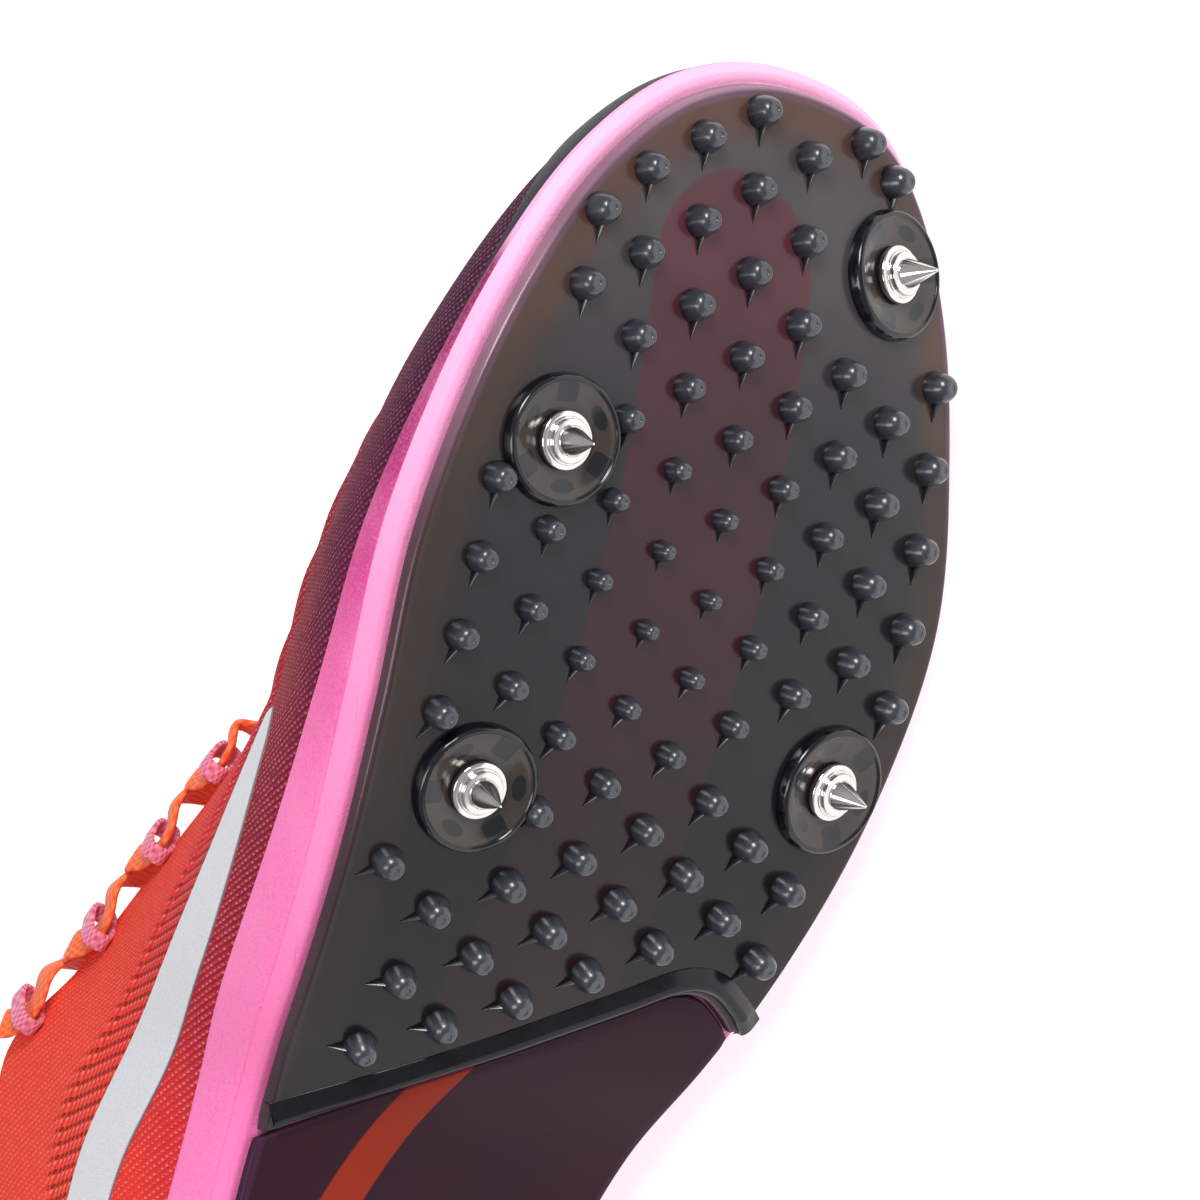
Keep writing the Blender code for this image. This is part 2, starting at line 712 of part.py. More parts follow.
def forefoot_plate():
    plan = plate_plan(20, LIP_COLUMNS, PLATE_EDGE_ROUND)
    floor = lifted(plan, 0.0)
    ceiling = lifted(plan, PLATE_THICKNESS)
    low = rim_of(floor)
    high = rim_of(ceiling)
    out = np.concatenate([outward(low) * PLATE_EDGE_ROUND, np.zeros((len(low), 1))], 1)
    rings = [low + out + (0, 0, PLATE_EDGE_ROUND), high + out]
    plate = capped("forefoot_plate", floor, rings, ceiling)
    bosses = np.array(list(SPIKES.values())) * (SHOE_LENGTH, BALL_WIDTH)
    places = nub_places()
    join(plate, gathered("lip", [lip_shape()]), "UNION")
    join(plate, gathered("bosses", [boss_shape(p) for p in bosses]), "UNION")
    join(plate, gathered("stud_holes", [stud_hole(p) for p in bosses]), "DIFFERENCE")
    join(plate, gathered("nubs", [nub_shape(p) for p in places]), "UNION")
    join(plate, gathered("fins", [fin_shape(p) for p in places]), "UNION")
    return plate


def spike(name, place):
    """A turned steel spike: stud, flange of two steps, short neck and a sharp cone."""
    seat = BOWL_FLOOR + GAP
    profile = (
        (0.0, seat - SPIKE_STUD_LENGTH),
        (SPIKE_STUD_RADIUS, seat - SPIKE_STUD_LENGTH),
        (SPIKE_STUD_RADIUS, seat),
        (SPIKE_FLANGE_RADIUS, seat),
        (SPIKE_FLANGE_RADIUS, seat + 0.13 * SPIKE_LENGTH),
        (SPIKE_STEP_RADIUS, seat + 0.17 * SPIKE_LENGTH),
        (SPIKE_STEP_RADIUS, seat + 0.27 * SPIKE_LENGTH),
        (SPIKE_CONE_RADIUS, seat + 0.30 * SPIKE_LENGTH),
        (SPIKE_CONE_RADIUS, seat + 0.37 * SPIKE_LENGTH),
        (0.0, seat + SPIKE_LENGTH),
    )
    points, faces = turned(profile, SPIKE_SIDES)
    plan = np.array(place) * (SHOE_LENGTH, BALL_WIDTH)
    base = (plan[0], plan[1], float(bottom(*plan)))
    points = placed(points, frame_at(base, bottom_normal(*plan), (-1, 0, 0)))
    return add_part(name, points, faces)


# Rear sheet, foam and insole

def rear_outsole():
    """The thin sheet behind the plate's lip, set a little higher than the plate's underside."""
    rungs, inset = 18, REAR_EDGE_ROUND
    apart = PLATE_EDGE_ROUND + inset + GAP
    medial_end = edge_position(LIP[-1][0] * SHOE_LENGTH - 1.4 * apart, True)
    lateral_end = edge_position(LIP[0][0] * SHOE_LENGTH - 1.4 * apart, False)
    medial = np.linspace(0, medial_end, rungs)
    lateral = np.linspace(ROUND, lateral_end, rungs)
    plan = plan_ladder(medial, lateral, LIP_COLUMNS, inset)
    lip = lip_line(np.linspace(1, 0, LIP_COLUMNS))
    run = np.gradient(lip, axis=0)
    run /= np.linalg.norm(run, axis=1, keepdims=True)
    behind = np.stack([run[:, 1], -run[:, 0]], 1)
    bend = lip + apart * behind - plan[-1]
    bend[0] = 0
    bend[-1] = 0
    plan = plan + bend[None] * np.linspace(0, 1, rungs)[:, None, None] ** 3
    raise_by = PLATE_THICKNESS - REAR_SHEET
    floor = lifted(plan, raise_by)
    ceiling = lifted(plan, PLATE_THICKNESS)
    out = np.concatenate([outward(rim_of(floor)) * inset, np.zeros((len(rim_of(floor)), 1))], 1)
    rings = [rim_of(floor) + out + (0, 0, inset), rim_of(ceiling) + out]
    return capped("rear_outsole", floor, rings, ceiling)


def loop_positions():
    return np.arange(LOOP_SAMPLES) * ROUND / LOOP_SAMPLES


def ladder_positions():
    rungs = np.linspace(0, LAST, LOOP_SAMPLES // 2 + 1)
    return rungs, ROUND - rungs


def footbed(inset, lift, columns):
    """Grid of the foot bed, dished a little, at a lift above it."""
    medial, lateral = ladder_positions()
    sides = [foam_rim(medial, -inset), foam_rim(lateral, -inset)]
    across = np.linspace(0, 1, columns)[None, :, None]
    grid = sides[0][:, None] * (1 - across) + sides[1][:, None] * across
    span = np.abs(sides[0][:, 1] - sides[1][:, 1]) / BALL_WIDTH
    sag = FOOTBED_DISH * 4 * (across * (1 - across))[..., 0] * span[:, None]
    grid[..., 2] += lift - FOOTBED_DEPTH - sag
    return grid


def midsole():
    """Foam from the plate up to the foot bed. Its side has a flared lower band, a crease, then an
    upper band that leans back in, and a ledge that carries the upper."""
    medial, lateral = ladder_positions()
    floor = lifted(plan_ladder(medial, lateral, 6, 0.0), PLATE_THICKNESS + GAP)
    position = loop_positions()
    edge = sole_edge(position)
    base = bottom(edge[:, 0], edge[:, 1]) + PLATE_THICKNESS + GAP
    wall = on_loop(WALL_LOOP, position)
    band = np.minimum(on_loop(BAND_LOOP, position), 0.86 * wall)

    def ring(outset, height):
        return np.concatenate([sole_edge(position, outset), (base + height)[:, None]], 1)

    rings = [
        ring(0.35 * BAND_FLARE, 0.04 * band),
        ring(BAND_FLARE, 0.86 * band),
        ring(0.86 * BAND_FLARE, band),
        ring(WALL_FLARE, wall),
        ring(-LEDGE_INSET, wall),
    ]
    return capped("midsole", floor, rings, footbed(LEDGE_INSET, 0.0, 6))


def insole():
    inset = LEDGE_INSET + GAP
    low = footbed(inset, GAP, 5)
    high = footbed(inset, GAP + INSOLE_THICKNESS, 5)
    return capped("insole", low, [], high)


# Upper and tongue

def upper():
    """One hollow shell: outer face, inner face a wall's thickness inside it, and the two rims."""
    position = loop_positions()
    shares = np.linspace(0, 1, RIB_STEPS + 1)
    where, share = np.meshgrid(position, shares)
    outer = upper_outside(where, share)
    inner = upper_layer(where, share, UPPER_WALL)
    inner[0, :, 2] = outer[0, :, 2]
    rows = np.concatenate([outer, inner[::-1]])
    points = rows.reshape(-1, 3)
    faces = grid_faces(len(rows), len(position), closed=True)
    first = (len(rows) - 1) * len(position)
    for column in range(len(position)):
        right = (column + 1) % len(position)
        faces.append((first + column, first + right, right, column))
    return add_part("upper", points, faces)


THROAT_FRONT = 12.4
THROAT_TOP = 7.0
TONGUE_SIDE = 0.84


def throat_arc(position, depth, crown, steps):
    """Points across the throat at a station, from under the medial edge to under the lateral edge,
    depth inside the upper's face, and humped by crown in the middle."""
    shares = (TONGUE_SIDE, 0.93, 1.0)
    medial = [upper_layer(np.array(position), np.array(s), depth) for s in shares]
    lateral = [upper_layer(np.array(ROUND - position), np.array(s), depth) for s in shares[::-1]]
    middle = (medial[-1] + lateral[0]) / 2 + np.array([0, 0, crown])
    return smooth_path(np.array(medial + [middle] + lateral), np.linspace(0, 6, steps))


def throat_front(start, reach, depth, steps):
    """Points round the front of the throat inside the vamp, from a station on the medial side to
    its match on the lateral. They come closest to the edge, up to the share reach, at the toe."""
    position = np.linspace(start, ROUND - start, steps)
    share = TONGUE_SIDE + (reach - TONGUE_SIDE) * np.sin(np.linspace(0, math.pi, steps))
    return upper_layer(position, share, depth)


def tongue():
    """Padded flap under the throat, from under the vamp to a free end above the collar."""
    columns = 9
    positions = np.linspace(THROAT_FRONT, THROAT_TOP, TONGUE_STEPS)
    depth = UPPER_WALL + TONGUE_CLEARANCE
    fronts = ((THROAT_FRONT + 1.0, 0.90), (THROAT_FRONT + 0.5, 0.995))
    outer = [throat_front(start, reach, depth, columns) for start, reach in fronts]
    inner = [throat_front(start, reach, depth + TONGUE_THICKNESS, columns) for start, reach in fronts]
    outer += [throat_arc(p, depth, TONGUE_CROWN, columns) for p in positions]
    inner += [throat_arc(p, depth + TONGUE_THICKNESS, TONGUE_CROWN, columns) for p in positions]
    across = np.linspace(-1, 1, columns)[:, None]
    for layer in (outer, inner):
        run = layer[-1][columns // 2] - layer[-3][columns // 2]
        run = run / np.linalg.norm(run)
        for step, narrow in ((0.44, 0.92), (0.81, 0.80), (1.0, 0.60)):
            middle = layer[TONGUE_STEPS + 1].mean(0)
            row = middle + (layer[TONGUE_STEPS + 1] - middle) * narrow
            layer.append(row + run * TONGUE_FREE_END * (step - 0.15 * across**2))
    return capped("tongue", np.array(inner), [], np.array(outer))


# Lacing

# A rounded ring reaches past its nominal half width by this factor, so that flats clear the lace.
LOOP_SWELL = 1.12


def loop_seats():
    """For each loop, from front to top, its station and the frame on the medial and lateral edge:
    middle of the lace, way along the edge, way across the lace, and way up off the upper."""
    seats = []
    for position in np.linspace(10.55, 7.45, LOOP_COUNT):
        pair = []
        for where, sign in ((position, 1.0), (ROUND - position, -1.0)):
            edge = upper_outside(np.array(where), np.array(0.97))
            ahead = upper_outside(np.array(where - 0.1 * sign), np.array(0.97))
            up = upper_normal(np.array(where), np.array(0.97))
            run = ahead - edge
            run = run / np.linalg.norm(run)
            across = np.cross(up, run)
            across = across / np.linalg.norm(across)
            lift = 1.5 * GAP + LOOP_SWELL * (LACE_THICKNESS / 2 + LOOP_CLEARANCE) + LOOP_THICKNESS
            pair.append((edge + up * lift, run, across, up))
        seats.append(pair)
    return seats


def lace_loop(name, seat):
    """A webbing loop round the lace: a flat oval ring as wide as the webbing."""
    middle, run, across, up = seat
    inner_half = LOOP_SWELL * (LACE_WIDTH / 2 + LOOP_CLEARANCE)
    inner_rise = LOOP_SWELL * (LACE_THICKNESS / 2 + LOOP_CLEARANCE)
    rows = []
    sides = 10
    for extra in (0.0, LOOP_THICKNESS):
        for end in (-0.5, 0.5):
            angles = (np.arange(sides) + 0.5) * 2 * math.pi / sides
            flat = np.sign(np.cos(angles)) * np.abs(np.cos(angles)) ** 0.6 * (inner_half + extra)
            high = np.sign(np.sin(angles)) * np.abs(np.sin(angles)) ** 0.6 * (inner_rise + extra)
            ring = middle + across * flat[:, None] + up * high[:, None] + run * (end * LOOP_WIDTH)
            rows.append(ring)
    inner_back, inner_front, outer_back, outer_front = rows
    grid = np.array([inner_back, inner_front, outer_front, outer_back, inner_back])
    return add_part(name, grid.reshape(-1, 3), grid_faces(5, sides, closed=True))


def lace_half(seats, first_side, lift):
    """Points and faces of half of the lace: from the middle of the front bar through one loop of
    each pair, changing sides, over the throat each time."""
    stops = []
    front = (seats[0][0][0] + seats[0][1][0]) / 2
    forward = -(seats[0][0][1] + seats[0][1][1]) / 2
    start = seats[0][first_side]
    toward = (start[0] - front) / np.linalg.norm(start[0] - front)
    up_middle = (seats[0][0][3] + seats[0][1][3]) / 2
    bar_start = front - toward * LACE_BAR_START + forward * LACE_BAR_FORWARD
    bar_end = start[0] * 0.72 + front * 0.28 + forward * LACE_BAR_END
    stops.append((bar_start + up_middle * (LACE_HUMP + lift), up_middle))
    stops.append((bar_end + up_middle * LACE_BAR_RISE, start[3]))
    for index, pair in enumerate(seats):
        side = (first_side + index) % 2
        middle, run, across, up = pair[side]
        inward = pair[1 - side][0] - middle
        inward = inward / np.linalg.norm(inward)
        for reach, turn, rise in ((-0.8, 0.4, 0.5), (-0.44, 0, 0), (0.44, 0, 0), (0.8, 0.4, 0.5)):
            stops.append((middle + LACE_STRAIGHT * (run * reach + inward * turn + up * rise), up))
        if index + 1 < len(seats):
            other = seats[index + 1][1 - side]
            centre = (middle + other[0]) / 2
            up_here = up + other[3]
            up_here = up_here / np.linalg.norm(up_here)
            stops.append((centre + up_here * (LACE_HUMP + lift), up_here))
    rows = smooth_path(np.array([(*at, *up) for at, up in stops]), lace_places(len(stops)))
    path, ups = rows[:, :3], rows[:, 3:]
    run = np.gradient(path, axis=0)
    run /= np.linalg.norm(run, axis=1, keepdims=True)
    width = np.cross(ups, run)
    width /= np.linalg.norm(width, axis=1, keepdims=True)
    ups = np.cross(run, width)
    return ribbon(path, width, ups, LACE_WIDTH, LACE_THICKNESS)


def lace_places(stops):
    """Places to read the lace's curve at: the short stretches inside a loop need no more points,
    the long ones over the throat have three more each."""
    places = [0.0, 0.5]
    for stop in range(1, stops):
        places.append(float(stop))
        over_throat = stop % 5 in (0, 1) and stop + 1 < stops and stop > 1
        places += [stop + 0.25, stop + 0.5, stop + 0.75] if over_throat else []
    return np.array(places)


def laces(seats):
    lace = gathered("laces", [lace_half(seats, 0, 0.0)])
    join(lace, gathered("other_half", [lace_half(seats, 1, LACE_CROSSING)]), "UNION")
    return lace


# Materials

def finish(thing, color, roughness, metallic=0.0, alpha=1.0):
    material = bpy.data.materials.new(thing.name)
    material.use_nodes = True
    shader = material.node_tree.nodes["Principled BSDF"]
    shader.inputs["Base Color"].default_value = (*color, 1.0)
    shader.inputs["Roughness"].default_value = roughness
    shader.inputs["Metallic"].default_value = metallic
    shader.inputs["Alpha"].default_value = alpha
    material.diffuse_color = (*color, alpha)
    thing.data.materials.clear()
    thing.data.materials.append(material)
    thing.data.shade_smooth()
    thing.data.set_sharp_from_angle(angle=math.radians(35))


# Laying the shoe on its side

def world_mesh(thing):
    graph = bpy.context.evaluated_depsgraph_get()
    mesh = thing.evaluated_get(graph).to_mesh()
    mesh.calc_loop_triangles()
    points = np.empty(len(mesh.vertices) * 3)
    mesh.vertices.foreach_get("co", points)
    faces = np.empty(len(mesh.loop_triangles) * 3, int)
    mesh.loop_triangles.foreach_get("vertices", faces)
    thing.evaluated_get(graph).to_mesh_clear()
    return points.reshape(-1, 3), faces.reshape(-1, 3)


def mass_centre(parts, density):
    """Centre of mass of the solids, each with its own density."""
    moment = np.zeros(3)
    mass = 0.0
    for thing in parts:
        points, faces = world_mesh(thing)
        a, b, c = points[faces[:, 0]], points[faces[:, 1]], points[faces[:, 2]]
        volume = np.einsum("ij,ij->i", a, np.cross(b, c)) / 6
        moment += density[thing.name] * (volume[:, None] * (a + b + c) / 4).sum(0)
        mass += density[thing.name] * volume.sum()
    return moment / mass


def resting_matrix(parts, density):
    """Matrix that lays the shoe down: of the faces of its convex hull that it can rest on, it takes
    the one that looks most to the medial side, turns it down, and sets the toe along +X."""
    cloud = bmesh.new()
    for thing in parts:
        for point in world_mesh(thing)[0]:
            cloud.verts.new(point)
    hull = bmesh.ops.convex_hull(cloud, input=cloud.verts, use_existing_faces=False)
    centre = Vector(mass_centre(parts, density))
    best = None
    for face in (item for item in hull["geom"] if isinstance(item, bmesh.types.BMFace)):
        face.normal_update()
        normal = face.normal.copy()
        if (face.verts[0].co - centre).dot(normal) < 0:
            normal.negate()
        if not stands_on(centre, normal, [v.co.copy() for v in face.verts]):
            continue
        if best is None or normal.y > best.y:
            best = normal
    cloud.free()
    down = best
    toe = Vector((1, 0, 0)) - down * down.x
    toe.normalize()
    side = (-down).cross(toe)
    turn = Matrix((toe, side, -down)).to_4x4()
    every = np.concatenate([placed(world_mesh(thing)[0], turn) for thing in parts])
    low, high = every.min(0), every.max(0)
    middle = (low + high) / 2
    return Matrix.Translation((-middle[0], -middle[1], -low[2])) @ turn


def stands_on(centre, normal, corners):
    """Whether the centre of mass, dropped along the normal, lands inside the face."""
    foot = centre + normal * (corners[0] - centre).dot(normal)
    signs = []
    for index, corner in enumerate(corners):
        after = corners[(index + 1) % len(corners)]
        signs.append((after - corner).cross(foot - corner).dot(normal))
    return all(s > 0 for s in signs) or all(s < 0 for s in signs)


def build():
    clear_scene()
    parts = [forefoot_plate()]
    parts += [spike(name, place) for name, place in SPIKES.items()]
    parts += [rear_outsole(), midsole(), insole(), upper(), tongue()]
    seats = loop_seats()
    for index, pair in enumerate(seats):
        for side, seat in zip(("medial", "lateral"), pair):
            parts.append(lace_loop(f"lace_loop_{side}_{index + 1}", seat))
    parts.append(laces(seats))
    looks = {
        "forefoot_plate": ((0.055, 0.050, 0.056), 0.18, 0.0, 0.85),
        "spike": ((0.80, 0.80, 0.80), 0.12, 1.0, 1.0),
        "rear_outsole": ((0.045, 0.013, 0.028), 0.35, 0.0, 1.0),
        "midsole": ((0.95, 0.22, 0.50), 0.55, 0.0, 1.0),
        "insole": ((0.09, 0.02, 0.04), 0.8, 0.0, 1.0),
        "upper": ((0.62, 0.05, 0.04), 0.8, 0.0, 1.0),
        "tongue": ((0.75, 0.06, 0.04), 0.8, 0.0, 1.0),
        "lace_loop": ((0.85, 0.18, 0.20), 0.7, 0.0, 1.0),
        "laces": ((0.95, 0.19, 0.03), 0.7, 0.0, 1.0),
    }
    densities = {
        "forefoot_plate": 1100.0,
        "spike": 7800.0,
        "rear_outsole": 1100.0,
        "midsole": 130.0,
        "insole": 120.0,
        "upper": 450.0,
        "tongue": 250.0,
        "lace_loop": 500.0,
        "laces": 500.0,
    }
    density = {}
    for thing in parts:
        kind = next(key for key in looks if thing.name.startswith(key))
        finish(thing, *looks[kind])
        density[thing.name] = densities[kind]
    rest = bpy.data.objects.new("resting_shoe", None)
    bpy.context.scene.collection.objects.link(rest)
    rest.matrix_world = resting_matrix(parts, density)
    for thing in parts:
        thing.parent = rest
    bpy.context.view_layer.update()


build()
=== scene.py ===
"""Looks of a track spike shoe for the right foot, lying on its medial side.

Shapes are worked out on the standing shoe: x from heel to toe, y to the medial side, z up from the
ground. Skin.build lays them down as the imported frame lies. Metres; charts and patterns too, unless
a name ends in mm.
"""

import json
import math

import bmesh
import bpy
import numpy as np
from mathutils import Matrix, Vector


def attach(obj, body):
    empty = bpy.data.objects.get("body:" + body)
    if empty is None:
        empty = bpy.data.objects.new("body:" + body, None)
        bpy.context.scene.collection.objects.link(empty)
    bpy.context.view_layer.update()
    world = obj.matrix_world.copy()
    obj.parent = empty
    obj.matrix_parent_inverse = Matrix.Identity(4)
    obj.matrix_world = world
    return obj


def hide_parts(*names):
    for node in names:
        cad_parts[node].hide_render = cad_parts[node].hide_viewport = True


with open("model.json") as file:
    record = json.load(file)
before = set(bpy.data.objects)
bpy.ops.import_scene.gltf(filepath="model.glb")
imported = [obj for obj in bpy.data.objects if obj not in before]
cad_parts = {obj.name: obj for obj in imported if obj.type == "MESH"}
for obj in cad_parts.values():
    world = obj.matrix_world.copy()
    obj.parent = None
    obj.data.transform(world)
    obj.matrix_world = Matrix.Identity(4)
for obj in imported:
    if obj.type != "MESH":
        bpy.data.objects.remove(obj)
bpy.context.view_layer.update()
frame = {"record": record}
scene = bpy.context.scene

# Main sizes, the same as the part's
SHOE_LENGTH = 0.285
BALL_WIDTH = 0.094
TOE_SPRING = 0.0224
ARCH_RISE = 0.0148
HEEL_FOAM = 0.019
COLLAR_HEIGHT = 0.0955
UPPER_WALL = 0.0016
GAP = 0.0003
PLATE_THICKNESS = 0.002
PLATE_EDGE_ROUND = 0.0009
LIP_WIDTH = 0.0036
LIP_HEIGHT = 0.0017
NUB_PITCH = 0.01097
NUB_HEIGHT = 0.0034
NUB_RADIUS = 0.0025
NUB_EDGE_MARGIN = 0.0033
NUB_LIP_MARGIN = 0.0045
NUB_BOSS_MARGIN = 0.0007
FIN_LENGTH = 0.0048
FIN_THICKNESS = 0.0008
SINK = 0.0009
BOSS_RADIUS = 0.0093
BOSS_HEIGHT = 0.0017
SPIKE_LENGTH = 0.0076
SPIKE_FLANGE_RADIUS = 0.0041
SPIKE_STEP_RADIUS = 0.0031
SPIKE_CONE_RADIUS = 0.0020
BOWL_FLOOR = 0.0005
REAR_SHEET = 0.0012
REAR_EDGE_ROUND = 0.0006
BAND_HEIGHT = 0.0050
BAND_FLARE = 0.0022
WALL_FLARE = 0.0018
LEDGE_INSET = 0.0034
FOOTBED_DEPTH = 0.0025
FOOTBED_DISH = 0.0010
INSOLE_THICKNESS = 0.0026
TONGUE_THICKNESS = 0.0030
TONGUE_CLEARANCE = 0.0010
TONGUE_CROWN = 0.0008
TONGUE_FREE_END = 0.0135
LACE_WIDTH = 0.0050
LACE_THICKNESS = 0.0012
LOOP_COUNT = 4
LOOP_WIDTH = 0.0028
LOOP_THICKNESS = 0.0008
LOOP_CLEARANCE = 0.0006
LOOP_SWELL = 1.12
LACE_STRAIGHT = 0.0062
LACE_HUMP = 0.0028
LACE_CROSSING = 0.0005
LACE_BAR_START = 0.0020
LACE_BAR_FORWARD = 0.0065
LACE_BAR_END = 0.0062
LACE_BAR_RISE = 0.0008
TOP_LEAN = 0.0050

# Sections from heel tip to toe tip, as the part has them: x as a share of the length, the other
# columns as shares of the ball width, except where a comment says otherwise.
SOLE = (
    # x, medial, lateral, spine
    (0.018, -0.064, -0.064, -0.064),
    (0.027, 0.053, -0.181, -0.064),
    (0.049, 0.154, -0.287, -0.066),
    (0.095, 0.229, -0.362, -0.070),
    (0.165, 0.255, -0.399, -0.075),
    (0.246, 0.245, -0.399, -0.085),
    (0.323, 0.243, -0.378, -0.095),
    (0.389, 0.256, -0.368, -0.096),
    (0.446, 0.291, -0.372, -0.074),
    (0.502, 0.326, -0.419, -0.043),
    (0.572, 0.385, -0.457, -0.027),
    (0.656, 0.453, -0.487, -0.011),
    (0.740, 0.494, -0.500, 0.000),
    (0.818, 0.471, -0.460, 0.011),
    (0.884, 0.430, -0.369, 0.032),
    (0.931, 0.370, -0.260, 0.053),
    (0.9655, 0.249, -0.116, 0.069),
    (0.978, 0.061, 0.061, 0.069),
)

# The bottom's rise along its spine, in arch rises and toe springs, and each side's curl.
PROFILE = (
    # arch, spring, medial curl, lateral curl
    (0.40, 0.00, 0.00, 0.00),
    (0.30, 0.00, 0.00, 0.00),
    (0.13, 0.00, 0.00, 0.00),
    (0.00, 0.00, 0.00, 0.00),
    (0.00, 0.00, 0.00, 0.00),
    (0.30, 0.00, 0.00, 0.00),
    (0.80, 0.00, 0.07, 0.27),
    (1.00, 0.00, 0.13, 0.60),
    (0.92, 0.00, 0.10, 0.78),
    (0.50, 0.00, 0.06, 0.55),
    (0.14, 0.00, 0.12, 0.45),
    (0.00, 0.005, 0.23, 0.37),
    (0.00, 0.076, 0.31, 0.31),
    (0.00, 0.272, 0.42, 0.19),
    (0.00, 0.531, 0.54, 0.12),
    (0.00, 0.759, 0.74, 0.05),
    (0.00, 0.929, 0.80, 0.00),
    (0.00, 1.000, 0.80, 0.00),
)

# Height of the foam's side wall, in heel foam heights.
WALL = (1.00, 1.00, 0.97, 0.95, 0.90, 0.82, 0.76, 0.66, 0.67, 0.73, 0.69, 0.58, 0.43, 0.29, 0.21,
        0.18, 0.175, 0.18)

# Height of the foam's lower band at each station, in shares of BAND_HEIGHT.
BAND = (0.80, 0.80, 0.80, 0.78, 0.70, 0.60, 0.53, 0.50, 0.53, 0.62, 0.70, 0.80, 0.74, 0.62, 0.54,
        0.54, 0.54, 0.54)

# Edge of the collar and throat. The height is in collar heights.
OPENING = (
    # x, medial, lateral, height
    (0.014, -0.064, -0.064, 0.850),
    (0.020, 0.040, -0.170, 0.840),
    (0.045, 0.120, -0.245, 0.800),
    (0.095, 0.170, -0.300, 0.720),
    (0.165, 0.205, -0.330, 0.670),
    (0.243, 0.200, -0.325, 0.710),
    (0.320, 0.150, -0.285, 0.850),
    (0.385, 0.100, -0.225, 1.000),
    (0.441, 0.078, -0.200, 0.918),
    (0.492, 0.072, -0.190, 0.842),
    (0.541, 0.070, -0.182, 0.766),
    (0.583, 0.066, -0.172, 0.700),
    (0.608, 0.050, -0.152, 0.663),
    (0.620, 0.030, -0.130, 0.646),
    (0.626, 0.010, -0.108, 0.638),
    (0.629, -0.008, -0.088, 0.634),
    (0.631, -0.026, -0.070, 0.632),
    (0.632, -0.048, -0.048, 0.631),
)

# How each rib of the upper bends between the foam and that edge.
RIBS = (
    # rise, bulge, run, drop
    (0.250, 0.062, -0.050, 0.250),
    (0.245, 0.055, -0.044, 0.245),
    (0.230, 0.042, -0.024, 0.225),
    (0.190, 0.022, 0.000, 0.200),
    (0.165, 0.020, 0.012, 0.190),
    (0.165, 0.020, 0.025, 0.200),
    (0.175, 0.018, 0.055, 0.245),
    (0.165, 0.020, 0.085, 0.290),
    (0.145, 0.020, 0.125, 0.280),
    (0.125, 0.014, 0.145, 0.235),
    (0.105, 0.008, 0.150, 0.200),
    (0.090, 0.004, 0.165, 0.165),
    (0.080, 0.002, 0.250, 0.118),
    (0.080, 0.002, 0.370, 0.086),
    (0.086, 0.002, 0.490, 0.072),
    (0.094, 0.003, 0.590, 0.066),
    (0.100, 0.005, 0.650, 0.064),
    (0.104, 0.007, 0.680, 0.063),
)

# The plate's rear edge, from its lateral to its medial end.
LIP = (
    (0.434, -0.362),
    (0.458, -0.250),
    (0.482, -0.135),
    (0.506, -0.010),
    (0.527, 0.105),
    (0.542, 0.190),
    (0.543, 0.250),
    (0.534, 0.305),
    (0.523, 0.350),
)

# Where the spikes stand, and how far the pattern of each boss is turned, in degrees.
SPIKES = {
    "spike_medial_front": (0.902, 0.298, 20),
    "spike_lateral_front": (0.799, -0.303, 52),
    "spike_lateral_rear": (0.628, -0.305, 78),
    "spike_medial_rear": (0.655, 0.333, 100),
}
FIRST_NUB = (0.949, 0.108)
BARE_NUBS = ((1, -1), (8, -1), (8, 5))
TOE_NUBS_FROM = 0.90

LAST = len(SOLE) - 1
ROUND = 2 * LAST


# Curves and surfaces of the shoe

def around(columns):
    """Rows for a closed loop: heel tip, medial side, toe tip, then the lateral side back."""
    medial = np.array(columns[0], float)
    lateral = np.array(columns[1], float)
    return np.concatenate([medial, lateral[-2:0:-1]])


def joined(*parts):
    """Numbers side by side, as the last axis, all spread to one shape."""
    return np.stack(np.broadcast_arrays(*parts), -1)


def raised(plan, height):
    """Plan points at a height."""
    return np.concatenate([plan, np.asarray(height)[..., None]], -1)


def on_loop(rows, position):
    """Closed Catmull-Rom curve through the rows, read at positions counted in stations."""
    rows = np.asarray(rows, float)
    position = np.asarray(position, float) % len(rows)
    index = np.floor(position).astype(int)
    part = (position - index).reshape(index.shape + (1,) * (rows.ndim - 1))
    before, here, after, beyond = (rows[(index + step) % len(rows)] for step in (-1, 0, 1, 2))
    slope_here = (after - before) / 2
    slope_after = (beyond - here) / 2
    return (
        here * (1 + part**2 * (2 * part - 3))
        + after * part**2 * (3 - 2 * part)
        + slope_here * part * (1 - part) ** 2
        - slope_after * part**2 * (1 - part)
    )


def along(knots, values, place):
    """Smooth curve through uneven knots: cubic pieces whose slopes are the central differences."""
    knots = np.asarray(knots, float)
    values = np.asarray(values, float)
    slopes = np.gradient(values, knots)
    place = np.clip(place, knots[0], knots[-1])
    index = np.clip(np.searchsorted(knots, place) - 1, 0, len(knots) - 2)
    width = knots[index + 1] - knots[index]
    part = (place - knots[index]) / width
    return (
        values[index] * (1 + part**2 * (2 * part - 3))
        + values[index + 1] * part**2 * (3 - 2 * part)
        + width * slopes[index] * part * (1 - part) ** 2
        - width * slopes[index + 1] * part**2 * (1 - part)
    )


def smooth_path(rows, place):
    """Smooth curve through rows of points, whose knots lie as far apart as the points do. place
    counts rows, so 2.5 is halfway from the third to the fourth."""
    reach = np.linalg.norm(np.diff(rows[:, :3], axis=0), axis=1)
    knots = np.concatenate([[0.0], np.cumsum(reach)])
    where = np.interp(place, np.arange(len(rows)), knots)
    return np.stack([along(knots, rows[:, k], where) for k in range(rows.shape[1])], -1)


def unit(vectors):
    """The vectors at length one."""
    return vectors / np.maximum(np.linalg.norm(vectors, axis=-1, keepdims=True), 1e-12)


